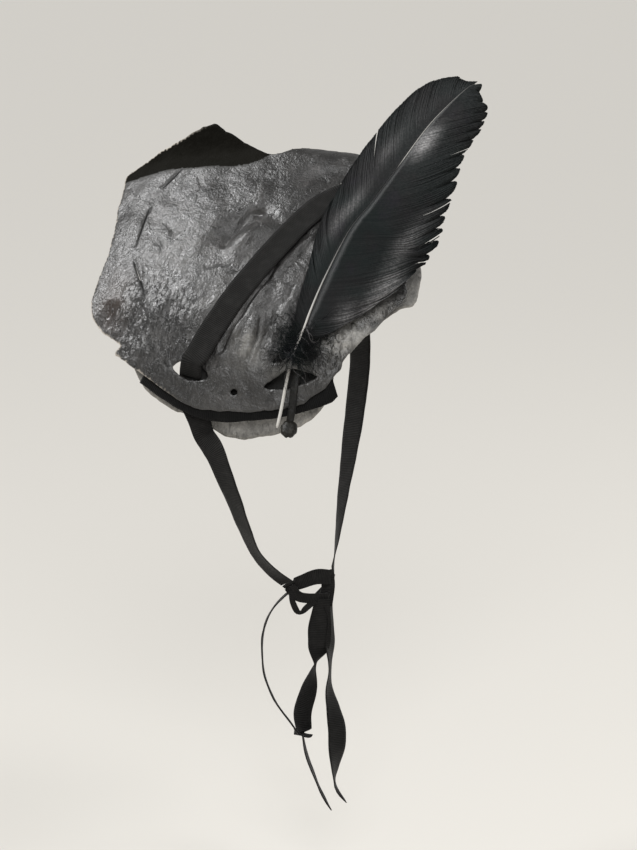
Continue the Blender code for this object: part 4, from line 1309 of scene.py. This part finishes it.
def strands(name, paths, widths, ridge, tone):
    """Thin three-sided strands along paths of hat places, one row of points for each strand."""
    count, steps = paths.shape[:2]
    ahead = np.gradient(paths, axis=1)
    ahead /= np.maximum(np.linalg.norm(ahead, axis=2, keepdims=True), 1e-9)
    side = np.cross(ahead, (0, 0, 1))
    side /= np.maximum(np.linalg.norm(side, axis=2, keepdims=True), 1e-9)
    lift = np.cross(side, ahead)
    half = widths[..., None] / 2
    corners = np.stack([paths - side * half, paths + side * half, paths + lift * ridge * half * 2], axis=2)
    world = corners.reshape(-1, 3) @ HAT_AXES
    base = np.arange(count)[:, None] * steps * 3
    ring = np.arange(steps - 1)[None] * 3
    faces = []
    for j, k in ((0, 1), (1, 2), (2, 0)):
        a = (base + ring + j).ravel()
        b = (base + ring + k).ravel()
        faces.append(np.stack([a, b, b + 3, a + 3], axis=1))
    quads = np.concatenate(faces)
    starts = base.ravel()
    ends = starts + (steps - 1) * 3
    caps = [(s + 2, s + 1, s) for s in starts] + [(e, e + 1, e + 2) for e in ends]
    made = mesh_object(name, world, [*quads, *caps])
    paint(made, "tone", np.repeat(tone.ravel(), 3))
    return made


def leather_seat(across, up, gap):
    """The height of a gap over the upper leather's face, for a grid of places of any shape."""
    flat_across, flat_up = across.ravel(), up.ravel()
    seat = upper_height(flat_across, flat_up) + upper_detail(flat_across, flat_up)
    return (seat + LEATHER / 2 + gap).reshape(across.shape)


def barb_locks(side, shares, seed):
    """Each barb's place in its lock, its lock's size, its own waywardness and its streak."""
    zero = np.zeros(len(shares))
    lock = shares * (BACK_LOCKS if side > 0 else FACE_LOCKS)
    lock = lock + 0.4 * grain(shares * 300, zero, 36.0, seed=seed)
    number = np.floor(lock)
    size = grain(number * 0.37 + 0.11, zero + side, 1.0, seed=seed + 1)
    each = grain(shares * 9000, zero, 3.1, seed=seed + 2)
    streak = grain(shares * 900, zero, 3.0, seed=seed + 3)
    return lock - number - 0.5, size, each, streak


def barb_curves(side, shares, steps, locks):
    """How far each barb's points are out from the shaft and on along it."""
    within, size, each, _ = locks
    table = spline(VANE, 6)
    columns = (1, 2, 3) if side > 0 else (4, 5, 6)
    reach, start, end = (np.interp(shares, table[:, 0], table[:, k]) for k in columns)
    depth = BACK_LOCK_DEPTH if side > 0 else FACE_LOCK_DEPTH
    rounded = depth * (0.4 - (2 * np.abs(within)) ** 3)
    reach = reach * (1 + 0.5 * depth * size + 0.006 * each + rounded)
    angle = 0.5 * size - 0.7 * within + 0.12 * each
    for split_side, share, opening in SPLITS:
        if split_side == side:
            far = shares - share
            angle = angle - np.sign(far) * opening / 2 * np.exp(-np.abs(far) / 0.014)
    turn = start[:, None] + (end - start)[:, None] * steps + angle[:, None] * steps**0.7
    turn = np.clip(np.radians(turn), 0.02, 2.0)
    turn = (turn[:, 1:] + turn[:, :-1]) / 2
    leg = (reach / np.sin(turn).mean(axis=1) / (BARB_STEPS - 1))[:, None]
    return running_sum(np.sin(turn) * leg), running_sum(np.cos(turn) * leg)


def running_sum(legs):
    """Sums along each row, from 0."""
    return np.concatenate([np.zeros((len(legs), 1)), np.cumsum(legs, axis=1)], axis=1)


def barb_tones(side, station, out_from, streak):
    """How pale each point of the barbs is: painted sheen in the sheen patches, some random streaking, and
    painted shade that keeps the foot of the vane darker.
    """
    tone = np.zeros(station.shape)
    for patch_side, share, far, size_along, size_across, amount in SHEEN_PATCHES:
        if patch_side == side:
            along = (station - share) * SHAFT_LENGTH / size_along
            tone += amount * np.exp(-(along**2 + ((out_from - far) / size_across) ** 2))
    tone = tone * (0.75 + 0.5 * streak[:, None]) + 0.01 + 0.01 * streak[:, None]
    # Painted shade: the vane is kept darker towards its foot.
    return np.clip(tone + 0.035 * smooth(station, 0.5, 0.8), 0, 1)


def make_vane(side, name, material, seed):
    """One side of the feather, as barbs in locks that rest on the leather where they cross it."""
    shares = np.linspace(LEAST_SHARE, 0.995, BARB_COUNT)
    steps = np.linspace(0, 1, BARB_STEPS)
    within, size, each, streak = locks = barb_locks(side, shares, seed)
    out_from, along = barb_curves(side, shares, steps, locks)
    station = shares[:, None] + along / SHAFT_LENGTH
    station = np.minimum(station, 1 + 0.8 * TIP_REACH / SHAFT_LENGTH)
    place, aside = on_shaft(station)
    across = place[..., 0] + side * aside[..., 0] * out_from
    up = place[..., 1] + side * aside[..., 1] * out_from
    out = place[..., 2] - out_from**2 / (2 * (BACK_CUP if side > 0 else FACE_CUP))
    puff = 0.5 * within + 0.45 * size + 0.35 * streak + 0.12 * each
    out = out + puff[:, None] * steps**1.3
    if side < 0:
        out = out - 2.2 * (np.abs(within) * 2)[:, None] ** 2 * smooth(steps, 0.7, 1.0)
    over = inside(np.stack([across.ravel(), up.ravel()], axis=1), np.array(UPPER_OUTLINE))
    seat = np.where(over.reshape(out.shape), leather_seat(across, up, VANE_GAP), -1e3)
    rough = (0.4 * np.abs(within) + 0.25 * (each + 1))[:, None] * steps
    out = np.maximum(out, seat + rough - 3.0 * (1 - smooth(steps, 0.0, 0.16)))
    tone = barb_tones(side, station, out_from, streak)
    widths = BARB_WIDTH * (1.0 - 0.55 * steps**3)
    paths = np.stack([across, up, out], axis=2)
    vane = strands(name, paths, np.broadcast_to(widths, tone.shape), VANE_RIDGE, tone)
    dress(vane, material, "feather")


def make_down(material):
    """The loose curled down at the foot of the vane."""
    rng = np.random.default_rng(7)
    steps = np.linspace(0, 1, DOWN_STEPS)
    shares = rng.uniform(*DOWN_SHARES, DOWN_COUNT)
    base, _ = on_shaft(shares)
    side = np.where(rng.random(DOWN_COUNT) < 0.5, 1.0, -1.0)
    heading = math.radians(72) + side * np.radians(rng.normal(92, 48, DOWN_COUNT))
    curl = rng.normal(0, 2.4, DOWN_COUNT)
    length = rng.uniform(*DOWN_LENGTHS, DOWN_COUNT)
    wave = rng.uniform(0, 6, DOWN_COUNT)[:, None]
    turn = heading[:, None] + curl[:, None] * steps**1.3 + 0.5 * np.sin(9 * steps + wave)
    leg = length[:, None] / (DOWN_STEPS - 1)
    drift = rng.normal(1, 3, (DOWN_COUNT, 1)) * steps
    across = base[:, :1] + drift + running_sum(np.cos(turn) * leg)[:, :-1]
    up = base[:, 1:2] + running_sum(np.sin(turn) * leg)[:, :-1]
    seat = leather_seat(across, up, DOWN_GAP)
    rise = rng.uniform(0.1, 5.0, DOWN_COUNT)[:, None] * np.sin(steps * 2.6)
    out = np.maximum(base[:, 2:] * (1 - steps) + (seat + rise) * steps, seat)
    widths = np.broadcast_to(DOWN_WIDTH * (1 - 0.7 * steps), out.shape)
    pale = np.where(rng.random(DOWN_COUNT) < 0.07, 0.5, 0.0)[:, None]
    tone = np.broadcast_to(pale, out.shape)
    down = strands("feather_down", np.stack([across, up, out], axis=2), widths, DOWN_RIDGE, tone)
    dress(down, material, "feather")


def make_quill_tie(material):
    """The thong beside the quill, and its rolled end as a lumpy ball."""
    rows = [(*in_world(*row), *OUT, THONG_WIDTH) for row in THONG]
    strap = soft_strap(
        "thong_strap", rows, thickness=THONG_THICKNESS, spacing=1.0, columns=5, cup=-0.3, ripple=0.2
    )
    turns, levels = 26, 18
    around = np.linspace(0, 2 * math.pi, turns, endpoint=False)
    theta, phi = np.meshgrid(around, np.linspace(0.12, math.pi - 0.12, levels), indexing="ij")
    ball = np.stack([np.sin(phi) * np.cos(theta), np.cos(phi), np.sin(phi) * np.sin(theta)], axis=-1)
    ball = ball.reshape(-1, 3)
    lumps = np.array([noise.noise(Vector(p * 2.3)) for p in ball])
    crease = np.exp(-((ball[:, 0] - 0.25 - 0.3 * ball[:, 1]) / 0.12) ** 2)
    ball = ball * (1 - 0.06 + 0.1 * lumps - 0.12 * crease)[:, None]
    centre = np.array(THONG[-1]) - (0, 3, 0)
    world = (ball * np.array(ROLL_SIZE) / 2 + centre) @ HAT_AXES
    faces = []
    for i in range(turns):
        k = (i + 1) % turns
        for j in range(levels - 1):
            faces.append((i * levels + j, i * levels + j + 1, k * levels + j + 1, k * levels + j))
    faces.append(tuple(i * levels for i in range(turns)))
    faces.append(tuple(i * levels + levels - 1 for i in reversed(range(turns))))
    roll = mesh_object("thong_roll", world, faces)
    tie = joined("thong_and_roll", [strap, roll])
    paint_leather(tie)
    dress(tie, material, "quill_tie")


def make_stage():
    """The pale floor and the sky's light."""
    level = CAD_BOX[0].z - FLOOR_DROP * MM
    corners = [(-1, -1), (1, -1), (1, 1), (-1, 1)]
    mesh = bpy.data.meshes.new("floor")
    mesh.from_pydata([(x * FLOOR_REACH, y * FLOOR_REACH, level) for x, y in corners], [], [(0, 1, 2, 3)])
    floor = bpy.data.objects.new("floor", mesh)
    bpy.context.scene.collection.objects.link(floor)
    material, _, shader = new_material("pale_floor", 0.8)
    shader.inputs["Base Color"].default_value = FLOOR_COLOUR
    mesh.materials.append(material)
    world = bpy.data.worlds.new("studio")
    world.use_nodes = True
    world.node_tree.nodes["Background"].inputs["Color"].default_value = SKY_COLOUR
    world.node_tree.nodes["Background"].inputs["Strength"].default_value = SKY_STRENGTH
    bpy.context.scene.world = world


def make_camera():
    """The camera at the photograph's angle and scale, and its right, up, way back and aim."""
    back = direction(CAMERA_AZIMUTH, CAMERA_RISE)
    turn = math.radians(CAMERA_AZIMUTH)
    right = Vector((math.cos(turn), math.sin(turn), 0))
    up = right.cross(-back)
    centre = (PHOTO[0] / 2, PHOTO[1] / 2)
    target = right * (centre[0] - ORIGIN_PIXEL[0]) - up * (centre[1] - ORIGIN_PIXEL[1])
    target = target / PIXELS_PER_MM
    data = bpy.data.cameras.new("camera")
    data.sensor_fit = "VERTICAL"
    data.sensor_height = SENSOR
    data.lens = SENSOR * PIXELS_PER_MM * CAMERA_DISTANCE / PHOTO[1]
    data.clip_end = 100
    camera = bpy.data.objects.new("camera", data)
    camera.location = (target + back * CAMERA_DISTANCE) * MM
    camera.rotation_euler = back.to_track_quat("Z", "Y").to_euler()
    bpy.context.scene.collection.objects.link(camera)
    bpy.context.scene.camera = camera
    return right, up, back, target * MM


def make_lights(right, up, back, target):
    """The key light and the soft panels, placed from the camera's point of view."""
    data = bpy.data.lights.new("key", "SUN")
    data.angle, data.energy = math.radians(KEY_ANGLE), KEY_STRENGTH
    key = bpy.data.objects.new("key", data)
    way = right * KEY_WAY[0] + up * KEY_WAY[1] + back * KEY_WAY[2]
    key.rotation_euler = way.to_track_quat("Z", "Y").to_euler()
    bpy.context.scene.collection.objects.link(key)
    for name, to_right, to_up, to_camera, size, watts in PANELS:
        data = bpy.data.lights.new(name, "AREA")
        data.shape, data.size, data.energy = "DISK", size, watts
        light = bpy.data.objects.new(name, data)
        light.location = target + right * to_right + up * to_up + back * to_camera
        light.rotation_euler = (light.location - target).to_track_quat("Z", "Y").to_euler()
        bpy.context.scene.collection.objects.link(light)


def main():
    ribbon = ribbon_material("ribbon_look", (0.004, 0.004, 0.0038), (0.024, 0.023, 0.022))
    # The hat band: the ribbon's look painted darker, as painted shade under the leather's edge.
    band = ribbon_material("band_shade_look", (0.003, 0.003, 0.003), (0.01, 0.01, 0.01))
    plume = plume_material("plume_look", (0.004, 0.0043, 0.0046), (0.4, 0.39, 0.39))
    make_upper_leather(leather_material(*UPPER_LOOK), leather_material(*FLAP_LOOK))
    make_under_leather(leather_material(*UNDER_LOOK))
    make_hat_band(band)
    make_crown_ribbon(ribbon)
    make_ties(ribbon)
    make_bow(ribbon)
    make_shaft(quill_material())
    make_vane(1, "feather_vane_back", plume, 101.0)
    make_vane(-1, "feather_vane_face", plume, 111.0)
    make_down(plume)
    make_quill_tie(leather_material(*THONG_LOOK))
    make_stage()
    right, up, back, target = make_camera()
    make_lights(right, up, back, target)


main()
